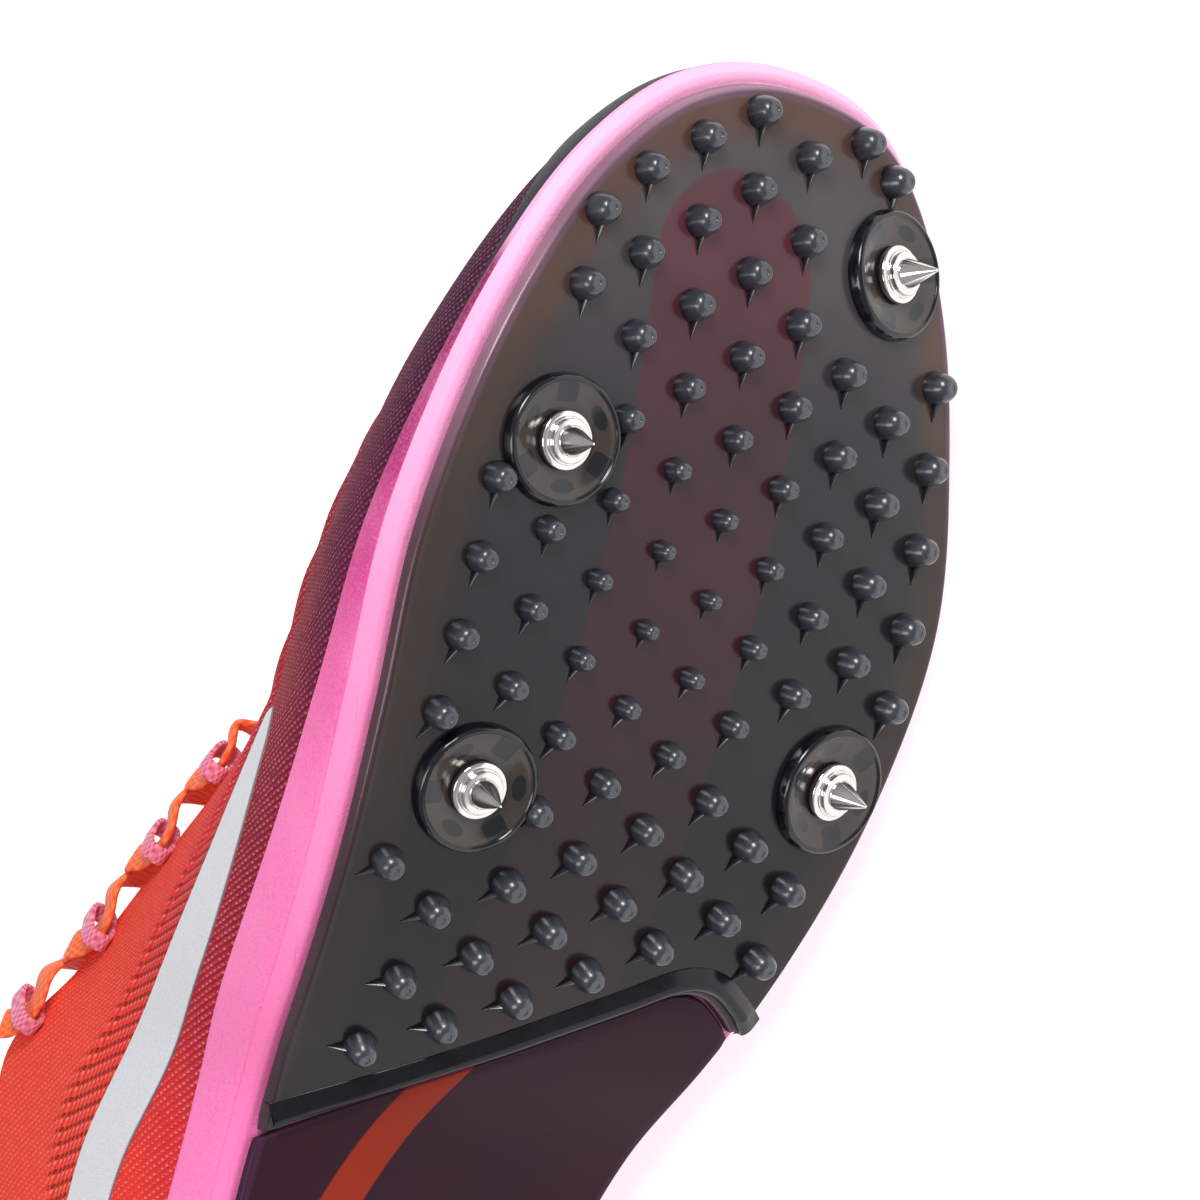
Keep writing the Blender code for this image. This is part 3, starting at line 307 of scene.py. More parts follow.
def ease(value, low, high):
    """Rises smoothly from 0 at low to 1 at high: three squares less two cubes of the share."""
    part = np.clip((np.asarray(value, float) - low) / (high - low), 0, 1)
    return part * part * (3 - 2 * part)


STATION_X = np.array([row[0] for row in SOLE]) * SHOE_LENGTH
SPINE_Y = np.array([row[3] for row in SOLE]) * BALL_WIDTH
SPINE_Z = np.array([ARCH_RISE * row[0] + TOE_SPRING * row[1] for row in PROFILE])
MEDIAL_CURL = np.array([row[2] for row in PROFILE]) * ARCH_RISE
LATERAL_CURL = np.array([row[3] for row in PROFILE]) * ARCH_RISE
SOLE_LOOP = around([[(x, m) for x, m, _, _ in SOLE], [(x, l) for x, _, l, _ in SOLE]]) * (
    SHOE_LENGTH, BALL_WIDTH)
OPENING_LOOP = around([[(x, m, z) for x, m, _, z in OPENING], [(x, l, z) for x, _, l, z in OPENING]]) * (
    SHOE_LENGTH, BALL_WIDTH, COLLAR_HEIGHT)
RIB_LOOP = around([RIBS, RIBS]) * BALL_WIDTH
WALL_LOOP = around([WALL, WALL]) * HEEL_FOAM
BAND_LOOP = around([BAND, BAND]) * BAND_HEIGHT


def bottom(x, y):
    """Height of the sole's underside: the rise along the spine, plus a curl that grows with the
    square of the distance from the spine, and never below the ground."""
    x = np.asarray(x, float)
    aside = (np.asarray(y, float) - along(STATION_X, SPINE_Y, x)) / (BALL_WIDTH / 2)
    curl = np.where(
        aside > 0, along(STATION_X, MEDIAL_CURL, x), along(STATION_X, LATERAL_CURL, x)
    )
    return np.maximum(0.0, along(STATION_X, SPINE_Z, x) + curl * aside**2)


def bottom_normal(plan):
    """Unit normals of the underside, pointing to the ground, from its slopes along x and y."""
    step = 1e-4
    x, y = plan[..., 0], plan[..., 1]
    slope_x = (bottom(x + step, y) - bottom(x - step, y)) / (2 * step)
    slope_y = (bottom(x, y + step) - bottom(x, y - step)) / (2 * step)
    return unit(joined(slope_x, slope_y, -np.ones_like(slope_x)))


def sole_edge(position, outset=0.0):
    """Plan points of the sole's edge, moved out by outset."""
    step = 0.02
    run = on_loop(SOLE_LOOP, position + step) - on_loop(SOLE_LOOP, position - step)
    normal = unit(joined(-run[..., 1], run[..., 0]))
    return on_loop(SOLE_LOOP, position) + np.asarray(outset)[..., None] * normal


def foam_rim(position, outset):
    """Points along the top of the foam's side wall."""
    edge = sole_edge(position)
    height = bottom(edge[..., 0], edge[..., 1]) + PLATE_THICKNESS + GAP + on_loop(WALL_LOOP, position)
    return raised(sole_edge(position, outset), height)


def upper_form(position, share):
    """Plain outer face of the upper: ribs that are cubic curves from the foam's rim, share 0, to
    the edge of the opening, share 1."""
    foot = foam_rim(position, WALL_FLARE - UPPER_WALL / 2) + np.array([0, 0, GAP])
    edge = on_loop(OPENING_LOOP, position)
    rib = on_loop(RIB_LOOP, position)
    side = foam_rim(position, WALL_FLARE + BALL_WIDTH)[..., :2] - foam_rim(position, WALL_FLARE)[..., :2]
    side = side / BALL_WIDTH
    lean = unit(foot[..., :2] - edge[..., :2] + TOP_LEAN * side)
    first = foot + np.concatenate([side * rib[..., 1:2], rib[..., 0:1]], -1)
    second = edge + np.concatenate([lean * rib[..., 2:3], -rib[..., 3:4]], -1)
    t = np.asarray(share, float)[..., None]
    return foot * (1 - t) ** 3 + 3 * first * t * (1 - t) ** 2 + 3 * second * t**2 * (1 - t) + edge * t**3


def upper_normal(position, share):
    """Unit normal of the upper's plain form, out of the shoe: the cross product of its slopes."""
    share = np.asarray(share, float)
    low = np.clip(share - 0.01, 0, 1)
    high = np.clip(share + 0.01, 0, 1)
    up = upper_form(position, high) - upper_form(position, low)
    run = upper_form(position + 0.01, share) - upper_form(position - 0.01, share)
    return unit(np.cross(up, run))


def upper_layer(position, share, depth):
    """The upper's plain form moved inwards by depth."""
    return upper_form(position, share) - np.asarray(depth)[..., None] * upper_normal(position, share)


# The upper's soft forms, as heights over its plain form

CREASES = (
    # station, lean with the share, half width in stations, depth
    (11.15, 0.55, 0.16, 0.00030),
    (11.75, 0.35, 0.20, 0.00040),
    (12.35, 0.20, 0.18, 0.00028),
    (13.05, 0.00, 0.24, 0.00020),
)
COLLAR_PUFF = 0.0012
COLLAR_PAD = 0.0026
PANEL_STEP = 0.0006
WAVE_HEIGHT = 0.00015


def station_of(position):
    """Stations from the heel, the same on both sides."""
    return np.minimum(position % ROUND, ROUND - position % ROUND)


def collar_fade(position):
    """1 round the padded collar behind the ankle, 0 along the throat."""
    return 1 - ease(station_of(position), 5.2, 7.2)


def upper_relief(position, share):
    """Soft heights: a puffed collar under the top edge, troughs where the shoe bends at the ball,
    which fade towards the foam, slow waves down the quarter, and a step up to the throat panel."""
    station = station_of(position)
    puff = COLLAR_PUFF * collar_fade(position) * np.sin(math.pi * np.clip((share - 0.62) / 0.38, 0, 1)) ** 2
    height = puff
    window = ease(share, 0.12, 0.45) * (1 - ease(share, 0.93, 1.0))
    for middle, lean, half, depth in CREASES:
        line = (station - middle - lean * (share - 0.6)) / half
        height = height - depth * window * (np.exp(-line**2) - 0.45 * np.exp(-(line - 1.9) ** 2))
    wave = np.sin(1.9 * station + 5.0 * share) * np.sin(1.1 * station - 7.0 * share)
    height = height + WAVE_HEIGHT * wave * ease(share, 0.05, 0.3) * (1 - ease(share, 0.85, 1.0))
    return height + PANEL_STEP * panel_mask(position, share)


def panel_edge(position):
    """Share at which the throat panel starts: high on the vamp, low behind the throat."""
    return np.interp(station_of(position), (0, 4, 6.5, 9.5, 11.5, 13.0, 14.5, 17), (
        0.80, 0.80, 0.62, 0.60, 0.58, 0.55, 0.62, 0.66))


def panel_mask(position, share):
    """1 on the layered panel round the throat, 0 below it, across a step a few hundredths wide."""
    edge = panel_edge(position)
    return ease(share, edge - 0.012, edge + 0.012) * ease(station_of(position), 4.0, 8.0)


def upper_face(position, share, height=0.0):
    """Outer face of the upper with its soft forms, and height above it."""
    lift = upper_relief(position, share) + height
    return upper_form(position, share) + lift[..., None] * upper_normal(position, share)


# Meshes

# Middle of the heel's flat, in plan
HEEL_FLAT = (0.0365, -0.0070)
FLOOR_CLEARANCE = 0.00002
WELD_DISTANCE = 2e-6
SHORTEST_EDGE = 1e-7


def resting_turn(mount):
    """Turn and shift that lay the standing shoe down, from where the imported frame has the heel's
    flat and the way that it faces: the sole faces that way, and the toe points along +X."""
    down = np.array(mount["axis"])
    toe = unit(np.array([down[2], 0.0, -down[0]]))
    side = np.cross(-down, toe)
    turn = np.stack([toe, side, -down], 1)
    heel = np.array([*HEEL_FLAT, PLATE_THICKNESS - REAR_SHEET])
    return turn, np.array(mount["pos_m"]) - turn @ heel


TURN, SHIFT = resting_turn(frame["record"]["mounts"][0])


class Skin:
    """Gathers grids of points into one mesh. A grid may be a stack of copies. Each has a chart, two
    map numbers for every point, and one finish, counted from 0."""

    def __init__(self, name):
        self.name = name
        self.points = []
        self.charts = []
        self.quads = []
        self.kinds = []
        self.marks = []
        self.count = 0

    def add(self, grid, chart=None, kind=0, mark=0.0):
        grid = np.asarray(grid, float)
        grid = grid if grid.ndim == 4 else grid[None]
        copies, rows, columns = grid.shape[:3]
        if chart is None:
            chart = grid[..., :2]
        chart = np.broadcast_to(chart, grid.shape[:3] + (2,))
        mark = np.broadcast_to(mark, grid.shape[:3])
        index = np.arange(rows * columns).reshape(rows, columns)
        quads = joined(index[:-1, :-1], index[:-1, 1:], index[1:, 1:], index[1:, :-1]).reshape(-1, 4)
        shift = self.count + np.arange(copies)[:, None, None] * rows * columns
        self.quads.append((quads[None] + shift).reshape(-1, 4))
        self.kinds.append(np.full(copies * len(quads), kind))
        self.points.append(grid.reshape(-1, 3))
        self.charts.append(chart.reshape(-1, 2))
        self.marks.append(mark.reshape(-1))
        self.count += copies * rows * columns
        return self

    def build(self, finishes, slot, replaces, sharp):
        """The mesh: laid down, flat where it would pass the floor, welded, its faces out, and riding
        on the part."""
        points = np.concatenate(self.points) @ TURN.T + SHIFT
        points[:, 2] = np.maximum(points[:, 2], FLOOR_CLEARANCE)
        quads = np.concatenate(self.quads)
        mesh = bpy.data.meshes.new(self.name)
        mesh.from_pydata(points.tolist(), [], quads.tolist())
        charts = np.concatenate(self.charts)[quads.ravel()]
        mesh.uv_layers.new(name="chart").data.foreach_set("uv", charts.ravel())
        mark = mesh.attributes.new("mark", "FLOAT", "POINT")
        mark.data.foreach_set("value", np.concatenate(self.marks))
        mesh.polygons.foreach_set("material_index", np.concatenate(self.kinds))
        work = bmesh.new()
        work.from_mesh(mesh)
        bmesh.ops.remove_doubles(work, verts=work.verts, dist=WELD_DISTANCE)
        bmesh.ops.dissolve_degenerate(work, edges=work.edges, dist=SHORTEST_EDGE)
        bmesh.ops.recalc_face_normals(work, faces=work.faces)
        work.to_mesh(mesh)
        work.free()
        for finish in finishes:
            mesh.materials.append(finish)
        mesh.shade_smooth()
        mesh.set_sharp_from_angle(angle=math.radians(sharp))
        piece = bpy.data.objects.new(self.name, mesh)
        scene.collection.objects.link(piece)
        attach(piece, "root")
        if replaces:
            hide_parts(*replaces)
        return piece


def arcs(grid, axis):
    """Distance along a grid's rows or columns, summed from its first point."""
    steps = np.linalg.norm(np.diff(grid, axis=axis), axis=-1)
    start = np.zeros_like(np.take(steps, [0], axis))
    return np.concatenate([start, np.cumsum(steps, axis)], axis)


def rounded(low, high, radius, count):
    """Numbers from low to high that crowd near both ends: count inside, four in each end's round."""
    turn = (1 - np.cos(np.linspace(0, math.pi / 2, 5)[:-1])) * radius
    return np.concatenate([low + turn, np.linspace(low + radius, high - radius, count), (high - turn)[::-1]])


def capped(grid):
    """A grid closed at both ends, by rows that lie in the middle of its first and of its last."""
    first, last = (np.broadcast_to(grid[k].mean(0), grid[:1].shape) for k in (0, -1))
    return np.concatenate([first, grid, last])


def quarter(share):
    """A quarter circle's height over its foot, from 0 at share 0 to 1 at share 1 and beyond."""
    return np.sqrt(np.clip(1 - (1 - np.clip(share, 0, 1)) ** 2, 0, 1))


def pushed(wave, power):
    """A cosine or sine to a power, its sign kept. Below 1 it squares off an oval."""
    return np.sign(wave) * np.abs(wave) ** power


def rib_length(position, low, high):
    """Length that a whole share would have on the upper's ribs, measured from low to high."""
    return np.linalg.norm(upper_form(position, high) - upper_form(position, low), axis=-1) / (high - low)


def on_plate(points, places, ways):
    """Copies of a shape, each set on the underside at a plan place: its z along the normal there,
    its x leaning towards a way."""
    z = bottom_normal(places)
    y = unit(np.cross(z, ways))
    x = np.cross(y, z)
    axes = joined(x, y, z)
    return np.einsum("nij,...nj->...ni", axes, points) + lifted(places, 0.0)


def set_on_plate(grid, place, toward):
    """One grid on the underside at a place, its x leaning along the shoe: forwards or back."""
    return on_plate(grid[:, :, None], place[None], np.array([[toward, 0.0, 0.0]]))[:, :, 0]


def turned(profile, sides):
    """Grid of a profile of (radius, height) turned about z, its last column on its first."""
    profile = np.array(profile)
    angle = np.linspace(0, 2 * math.pi, sides + 1)
    ring = joined(np.cos(angle), np.sin(angle))
    flat = profile[:, None, :1] * ring[None]
    return np.concatenate([flat, np.broadcast_to(profile[:, None, 1:], flat.shape[:2] + (1,))], -1)


def eased_profile(rows, steps):
    """A profile whose listed corners are rounded: each row is (radius, height, round), and the
    corner becomes a curve of that size, drawn with a quadratic through the corner."""
    rows = [np.array(row, float) for row in rows]
    path = [rows[0][:2]]
    for before, here, after in zip(rows, rows[1:], rows[2:]):
        size = here[2]
        if size <= 0:
            path.append(here[:2])
            continue
        start = here[:2] + unit(before[:2] - here[:2]) * size
        end = here[:2] + unit(after[:2] - here[:2]) * size
        t = np.linspace(0, 1, steps)[:, None]
        path.extend(start * (1 - t) ** 2 + 2 * here[:2] * t * (1 - t) + end * t**2)
    path.append(rows[-1][:2])
    return np.array(path)


# Writing shader maths as Python

class Value:
    """A socket of a node tree. Arithmetic on it adds Math nodes."""

    def __init__(self, finish, socket):
        self.finish = finish
        self.socket = socket

    def _math(self, operation, *values):
        return self.finish.node("ShaderNodeMath", {"operation": operation}, dict(enumerate(values)))

    def __rsub__(self, other):
        return self._math("SUBTRACT", other, self)

    def ease(self, low, high):
        """Rises smoothly from 0 at low to 1 at high."""
        settings = {"interpolation_type": "SMOOTHSTEP"}
        return self.finish.node("ShaderNodeMapRange", settings, {0: self, 1: low, 2: high})


def math_method(operation):
    """A method that adds one Math node to a value, with whatever else it is given."""
    return lambda value, *others: value._math(operation, value, *others)


for method, operation in (
        ("__add__", "ADD"), ("__radd__", "ADD"), ("__sub__", "SUBTRACT"), ("__mul__", "MULTIPLY"),
        ("__rmul__", "MULTIPLY"), ("__truediv__", "DIVIDE"), ("__abs__", "ABSOLUTE"), ("power", "POWER"),
        ("sine", "SINE"), ("fraction", "FRACT"), ("floor", "FLOOR"), ("root", "SQRT"), ("least", "MINIMUM"),
        ("most", "MAXIMUM")):
    setattr(Value, method, math_method(operation))


class Finish:
    """A material being written. node() adds any node; the rest are the ones used most."""

    def __init__(self, name, **constants):
        self.material = bpy.data.materials.new(name)
        self.material.use_nodes = True
        self.tree = self.material.node_tree
        self.shader = self.tree.nodes["Principled BSDF"]
        for socket, value in constants.items():
            self.shader.inputs[socket.replace("_", " ")].default_value = value

    def node(self, kind, settings, inputs, output=0):
        """Adds a node: its settings first, then the values or links of its sockets."""
        made = self.tree.nodes.new(kind)
        for key, value in settings.items():
            setattr(made, key, value)
        for key, value in inputs.items():
            if isinstance(value, Value):
                self.tree.links.new(value.socket, made.inputs[key])
            else:
                made.inputs[key].default_value = value
        return Value(self, made.outputs[output])

    def feed(self, socket, value):
        """Links a value to a socket of the material's shader."""
        self.tree.links.new(value.socket, self.shader.inputs[socket])

    def place(self):
        """x, y and z on the standing shoe in millimetres, from Object coordinates."""
        where = self.node("ShaderNodeTexCoord", {}, {}, "Object")
        turn = Matrix(TURN.tolist()).to_euler()
        stood = self.node("ShaderNodeMapping", {"vector_type": "TEXTURE"}, {
            "Vector": where, "Location": Vector(SHIFT), "Rotation": turn, "Scale": (0.001, 0.001, 0.001)})
        return stood

    def parts(self, vector):
        return [self.node("ShaderNodeSeparateXYZ", {}, {0: vector}, k) for k in range(3)]

    def chart_mm(self):
        """The piece's two map numbers, in millimetres."""
        chart = self.node("ShaderNodeUVMap", {"uv_map": "chart"}, {})
        first, second, _ = self.parts(chart)
        return first * 1000.0, second * 1000.0

    def mark(self):
        return self.node("ShaderNodeAttribute", {"attribute_name": "mark"}, {}, "Fac")

    def vector(self, x, y, z):
        return self.node("ShaderNodeCombineXYZ", {}, {0: x, 1: y, 2: z})

    def along(self, value, first, stops):
        """A colour that changes with a value: each stop is where its colour starts and is reached."""
        color = shade(first)
        for low, high, code in stops:
            color = self.mix(value.ease(low, high), color, shade(code))
        return color

    def noise(self, vector, scale, detail=3.0, roughness=0.55):
        return self.node("ShaderNodeTexNoise", {}, {
            "Vector": vector, "Scale": scale, "Detail": detail, "Roughness": roughness}, "Fac")

    def mix(self, share, first, second):
        """A colour between two colours."""
        inputs = {0: share, 6: first, 7: second}
        return self.node("ShaderNodeMix", {"data_type": "RGBA"}, inputs, 2)

    def layers(self, color, rows):
        """A colour with more laid over it: each row is a mask and the colour it shows."""
        for mask, code in rows:
            color = self.mix(mask, color, shade(code))
        return color

    def between(self, share, first, second):
        """A number between two numbers."""
        return self.node("ShaderNodeMix", {"data_type": "FLOAT"}, {0: share, 2: first, 3: second}, 0)

    def bump(self, height, distance):
        return self.node("ShaderNodeBump", {}, {"Height": height, "Distance": distance, "Strength": 1.0})

    def done(self, color, rough=None, relief=None):
        """The material. rough is a share and the roughness at its 0 and 1; relief is a height and
        the distance that a height of 1 stands for."""
        self.feed("Base Color", color)
        if rough:
            self.feed("Roughness", self.between(*rough))
        if relief:
            self.feed("Normal", self.bump(*relief))
        return self.material


def shade(code):
    """Linear colour, with alpha, of a red, green and blue code."""
    parts = [int(code[k:k + 2], 16) / 255 for k in (0, 2, 4)]
    return (*(c / 12.92 if c <= 0.04045 else ((c + 0.055) / 1.055) ** 2.4 for c in parts), 1.0)


# Finishes

PANEL_ENDS = ((253.0, -2.0), (152.0, -7.0))
PANEL_RADIUS = 14.0


def smoky_plate():
    """Glossy see-through plastic: smoky grey, browner near the edge, with a mauve rim where the foam
    shines through and a plain maroon panel with round ends under the middle. All are painted lighter
    towards the toe, a painted reflection of the light there."""
    finish = Finish("smoky_plate", Roughness=0.18, IOR=1.45, Specular_IOR_Level=0.32, Coat_Weight=0.12,
                    Coat_Roughness=0.05)
    place = finish.place()
    x, y, _ = finish.parts(place)
    inset, _ = finish.chart_mm()
    cloud = finish.noise(place, 0.05, 2.0)
    grain = finish.noise(place, 1.6)
    # Painted reflection: the smoky grey lightens towards the toe.
    color = finish.along(x, "181619", ((165.0, 225.0, "252327"), (225.0, 268.0, "4a4548")))
    (x0, y0), (x1, y1) = PANEL_ENDS
    length = math.hypot(x1 - x0, y1 - y0)
    run = ((x - x0) * ((x1 - x0) / length) + (y - y0) * ((y1 - y0) / length)).most(0.0).least(length)
    away_x = x - (x0 + run * ((x1 - x0) / length))
    away_y = y - (y0 + run * ((y1 - y0) / length))
    away = (away_x * away_x + away_y * away_y).root()
    panel = 1.0 - away.ease(PANEL_RADIUS - 0.5, PANEL_RADIUS + 0.5)
    # Painted reflection: the panel's tint and the brown near the edge also lighten towards the toe.
    tint = finish.along(x, "27151c", ((165.0, 225.0, "3e1c27"), (225.0, 265.0, "5a2833")))
    color = finish.mix(panel * 0.92, color, tint)
    brown = finish.along(x, "221c1c", ((140.0, 215.0, "39291f"), (215.0, 262.0, "59392c")))
    color = finish.mix((1.0 - inset.ease(3.0, 9.5)) * 0.8, color, brown)
    front = x.ease(205.0, 250.0) * 0.85 + 0.12
    color = finish.layers(color, (
        ((1.0 - inset.ease(0.8, 1.6)) * front, "67485a"),
        ((1.0 - inset.ease(0.1, 0.6)) * front, "9d7488"),
        (cloud.ease(0.35, 0.75) * 0.3, "151316")))
    return finish.done(color, (grain, 0.14, 0.22), (grain, 0.00001))


def slate_nub():
    """Satin moulded slate blue, with painted shade that darkens it where a nub meets the plate."""
    finish = Finish("slate_nub", Roughness=0.28, IOR=1.5, Specular_IOR_Level=0.7, Coat_Weight=0.5,
                    Coat_Roughness=0.1)
    _, height = finish.chart_mm()
    grain = finish.noise(finish.place(), 1.4)
    # Painted shade: dark at the foot of each nub, lighter higher up.
    color = finish.mix(height.ease(0.0, 1.6), shade("121217"), shade("2c2e38"))
    color = finish.mix(grain.ease(0.4, 0.8) * 0.2, color, shade("41444f"))
    return finish.done(color, (grain, 0.26, 0.36), (grain, 0.000006))


def boss_finish():
    """Dark navy ring round a brown-grey see-through disc, with three dark ovals and three dark
    square tabs seen through it. The chart is the place on the boss, turned with its pattern."""
    finish = Finish("boss_disc", Roughness=0.15, IOR=1.45, Coat_Weight=0.4, Coat_Roughness=0.04)
    u, v = finish.chart_mm()
    reach = (u * u + v * v).root()
    color = finish.mix(finish.noise(finish.place(), 0.2, 2.0), shade("2c2725"), shade("433630"))
    color = finish.mix((1.0 - reach.ease(4.2, 5.6)) * 0.7, color, shade("1d191a"))
    marks = None
    for k in range(3):
        for angle, far, half_out, half_across, square in ((0, 6.3, 1.0, 1.9, 2.0), (60, 7.2, 2.0, 1.7, 8.0)):
            turn = math.radians(angle + 120 * k)
            out = abs(u * math.cos(turn) + v * math.sin(turn) - far) / half_out
            across = abs(v * math.cos(turn) - u * math.sin(turn)) / half_across
            inside = 1.0 - (out.power(square) + across.power(square)).ease(0.85, 1.15)
            marks = inside if marks is None else marks.most(inside)
    marks = marks * (1.0 - reach.ease(8.05, 8.2))
    color = finish.layers(color, (
        (marks, "10111a"),
        (reach.ease(8.0, 8.25), "0d0d15")))
    return finish.done(color)


def navy_bead():
    finish = Finish("navy_bead", Roughness=0.24, IOR=1.35, Coat_Weight=0.12, Coat_Roughness=0.05)
    grain = finish.noise(finish.place(), 0.9)
    return finish.done(finish.mix(grain, shade("09090e"), shade("14151d")), (grain, 0.15, 0.3))


def polished_steel():
    """Bright turned steel: fine rings from the lathe in its roughness and bump."""
    finish = Finish("polished_steel", Metallic=1.0, Roughness=0.1)
    reach, height = finish.chart_mm()
    rings = ((reach + height) * 42.0).sine() * 0.5 + 0.5
    grain = finish.noise(finish.place(), 2.5)
    color = finish.mix(grain, shade("d8d4d0"), shade("f2efec"))
    return finish.done(color, (rings, 0.06, 0.13), (rings, 0.000004))


def pink_foam():
    """Moulded foam: pale pink on the flared lower band, painted lighter towards the toe as painted light,
    and an upper band whose painted shade goes from deep magenta at the toe to the same pink. A painted
    shade line runs along the creased line, and painted shade darkens the foot by the plate. Fine beads
    show on the upper band, faint scuffs below."""
    finish = Finish("pink_foam", Roughness=0.55, IOR=1.45)
    place = finish.place()
    x, _, _ = finish.parts(place)
    run, height = finish.chart_mm()
    share = finish.mark()
    speck = finish.noise(place, 2.6, 2.0, 0.7)
    cloud = finish.noise(place, 0.09, 2.0)
    # Painted light: the lower band's pink lightens towards the toe.
    low = finish.along(x, "ff7cba", (
        (120.0, 190.0, "ff92c8"), (185.0, 235.0, "ffb2dc"), (235.0, 265.0, "ffc4e6")))
    # Painted shade: the upper band darkens to deep magenta towards the toe, and lightens again at the very
    # tip.
    high = finish.along(x, "ff80be", (
        (168.0, 190.0, "ee66aa"), (188.0, 208.0, "cf3c8a"), (206.0, 225.0, "aa166a"),
        (225.0, 245.0, "80084a"), (247.0, 254.0, "f8b4dc")))
    high = finish.mix(speck.ease(0.42, 0.66) * 0.22, high, shade("ff9ad0"))
    high = finish.mix((1.0 - speck.ease(0.3, 0.45)) * 0.22, high, shade("c8287a"))
    color = finish.mix(share.ease(0.98, 1.02), low, high)
    # Painted shade: a darker line where the two bands meet.
    crease_shade = 1.0 - abs(share - 1.0).ease(0.0, 0.07)
    color = finish.layers(color, (
        (crease_shade * 0.3, "d0609a"),
        # Painted shade: darker towards the foam's foot by the plate.
        ((1.0 - height.ease(0.3, 1.1)) * 0.35, "e0609f"),
        (cloud.ease(0.4, 0.8) * 0.15, "ffb4da")))
    scuff_place = finish.vector(run * 0.12, height * 2.4 + run * 0.5, 0.0)
    scuff = finish.noise(scuff_place, 1.0, 2.0).ease(0.66, 0.72)
    color = finish.mix(scuff * 0.15 * (1.0 - share.ease(0.9, 1.0)), color, shade("e878b0"))
    return finish.done(color, (speck, 0.45, 0.68), (speck + scuff * -0.4, 0.00012))


STRIPE_FROM = (133.3, -13.2)
STRIPE_TO = (98.0, -25.2)
STRIPE_HALF = 3.1


def satin_sheet():
    """Satin maroon plastic with an orange stripe that has straight, parallel sides."""
    finish = Finish("satin_sheet", Roughness=0.48, IOR=1.3, Specular_IOR_Level=0.3)
    place = finish.place()
    x, y, _ = finish.parts(place)
    inset, _ = finish.chart_mm()
    grain = finish.noise(place, 2.2, 4.0)
    cloud = finish.noise(place, 0.05, 2.0)
    color = finish.mix(cloud, shade("2a1222"), shade("34141f"))
    run = Vector(STRIPE_TO) - Vector(STRIPE_FROM)
    run.normalize()
    aside = (x - STRIPE_FROM[0]) * -run.y + (y - STRIPE_FROM[1]) * run.x
    stripe = 1.0 - abs(aside).ease(STRIPE_HALF - 0.2, STRIPE_HALF + 0.2)
    stripe = stripe * x.ease(62.0, 62.6)
    color = finish.layers(color, (
        (stripe, "962a14"),
        ((1.0 - inset.ease(0.9, 1.6)) * 0.5, "4a2a44"),
        (grain.ease(0.45, 0.8) * 0.1, "4e3040")))
    return finish.done(color, (grain, 0.28, 0.44), (grain, 0.00004))


ROW_MM = 1.08
FLECK_MM = 0.95
SLIT_ROW_MM = 2.2
SLIT_MM = 1.3


def knit_upper():
    """Engineered knit. The chart is the place along the shoe and the height up the side. Twill rows
    of pale flecks cross dark valleys; between the side strip and the throat there are rows of slits,
    each over a painted highlight and a row of lumps of yarn. The colour goes from dark purple at the
    toe through maroon to coral behind and at the throat."""
    finish = Finish("knit_upper", Roughness=0.85, IOR=1.3, Specular_IOR_Level=0.2, Sheen_Weight=0.03,
                    Sheen_Roughness=0.5)
    place = finish.place()
    u, v = finish.chart_mm()
    open_zone = finish.mark()
    wobble = finish.noise(place, 0.35, 2.0) * 0.3
    row = (u * 0.7 + v * 0.7) / ROW_MM + wobble
    fleck = (u * 0.7 - v * 0.7) / FLECK_MM + row.floor() * 0.5 + row.fraction() * 0.6
    across = (row.fraction() - 0.5) / 0.30
    length = (fleck.fraction() - 0.5) / 0.40
    dash = 1.0 - (across * across + length * length).ease(0.35, 1.1)
    ridge = 1.0 - abs(row.fraction() - 0.5).ease(0.22, 0.5)
    stray = finish.noise(place, 1.1, 2.0)
    fibre = finish.noise(place, 5.0, 2.0)
    warm = (190.0 - u) / 90.0 + (v - 8.0) / 60.0
    body = finish.along(warm, "400a30", (
        (-0.60, -0.20, "68103a"), (-0.20, 0.20, "981838"), (0.20, 0.55, "c22236"),
        (0.50, 0.75, "ea2e32"), (0.72, 0.98, "ff382c"), (0.98, 1.30, "ff4634")))
    dark = finish.mix(0.36 - warm.ease(0.2, 1.0) * 0.24, body, shade("24030c"))
    pale = finish.along(warm, "a85a80", ((-0.3, 0.3, "f08c8c"), (0.6, 1.3, "ff8468")))
    color = finish.mix(ridge, dark, body)
    color = finish.mix(dash * stray.ease(0.3, 0.62) * 0.55, color, pale)
    slit_row = (u + v * 0.5) * (-1.0 / SLIT_ROW_MM) + wobble * 0.3
    step = slit_row.fraction()
    slant = v / SLIT_MM + slit_row.floor() * 0.5 - step * 0.35
    beside = slant.fraction() - 0.5
    slit = 1.0 - (((step - 0.2) / 0.19).power(2.0) + (beside / 0.38).power(2.0)).ease(0.4, 1.1)
    # Painted highlight: a pale pink band just below each slit.
    painted_slit_highlight = 1.0 - (((step - 0.52) / 0.14).power(2.0) + (beside / 0.34).power(2.0)).ease(0.3, 1.2)
    lump = 1.0 - abs(beside).ease(0.22, 0.5)
    knitted = finish.mix(lump, finish.mix(0.4, body, shade("6a0814")), finish.mix(0.1, body, shade("ff5040")))
    color = finish.mix(open_zone * 0.8, color, knitted)
    color = finish.layers(color, (
        (slit * open_zone * 0.8, "5a0914"),
        (painted_slit_highlight * open_zone * 0.4, "ff9a9a")))
    color = finish.mix(fibre.ease(0.4, 0.75) * 0.1, color, pale)
    weave = (dash * 0.7 + ridge * 0.5) * (1.0 - open_zone)
    height = weave + (lump * 0.9 - slit * 1.4) * open_zone + fibre * 0.15
    return finish.done(color, (dash, 0.9, 0.7), (height, 0.0003))


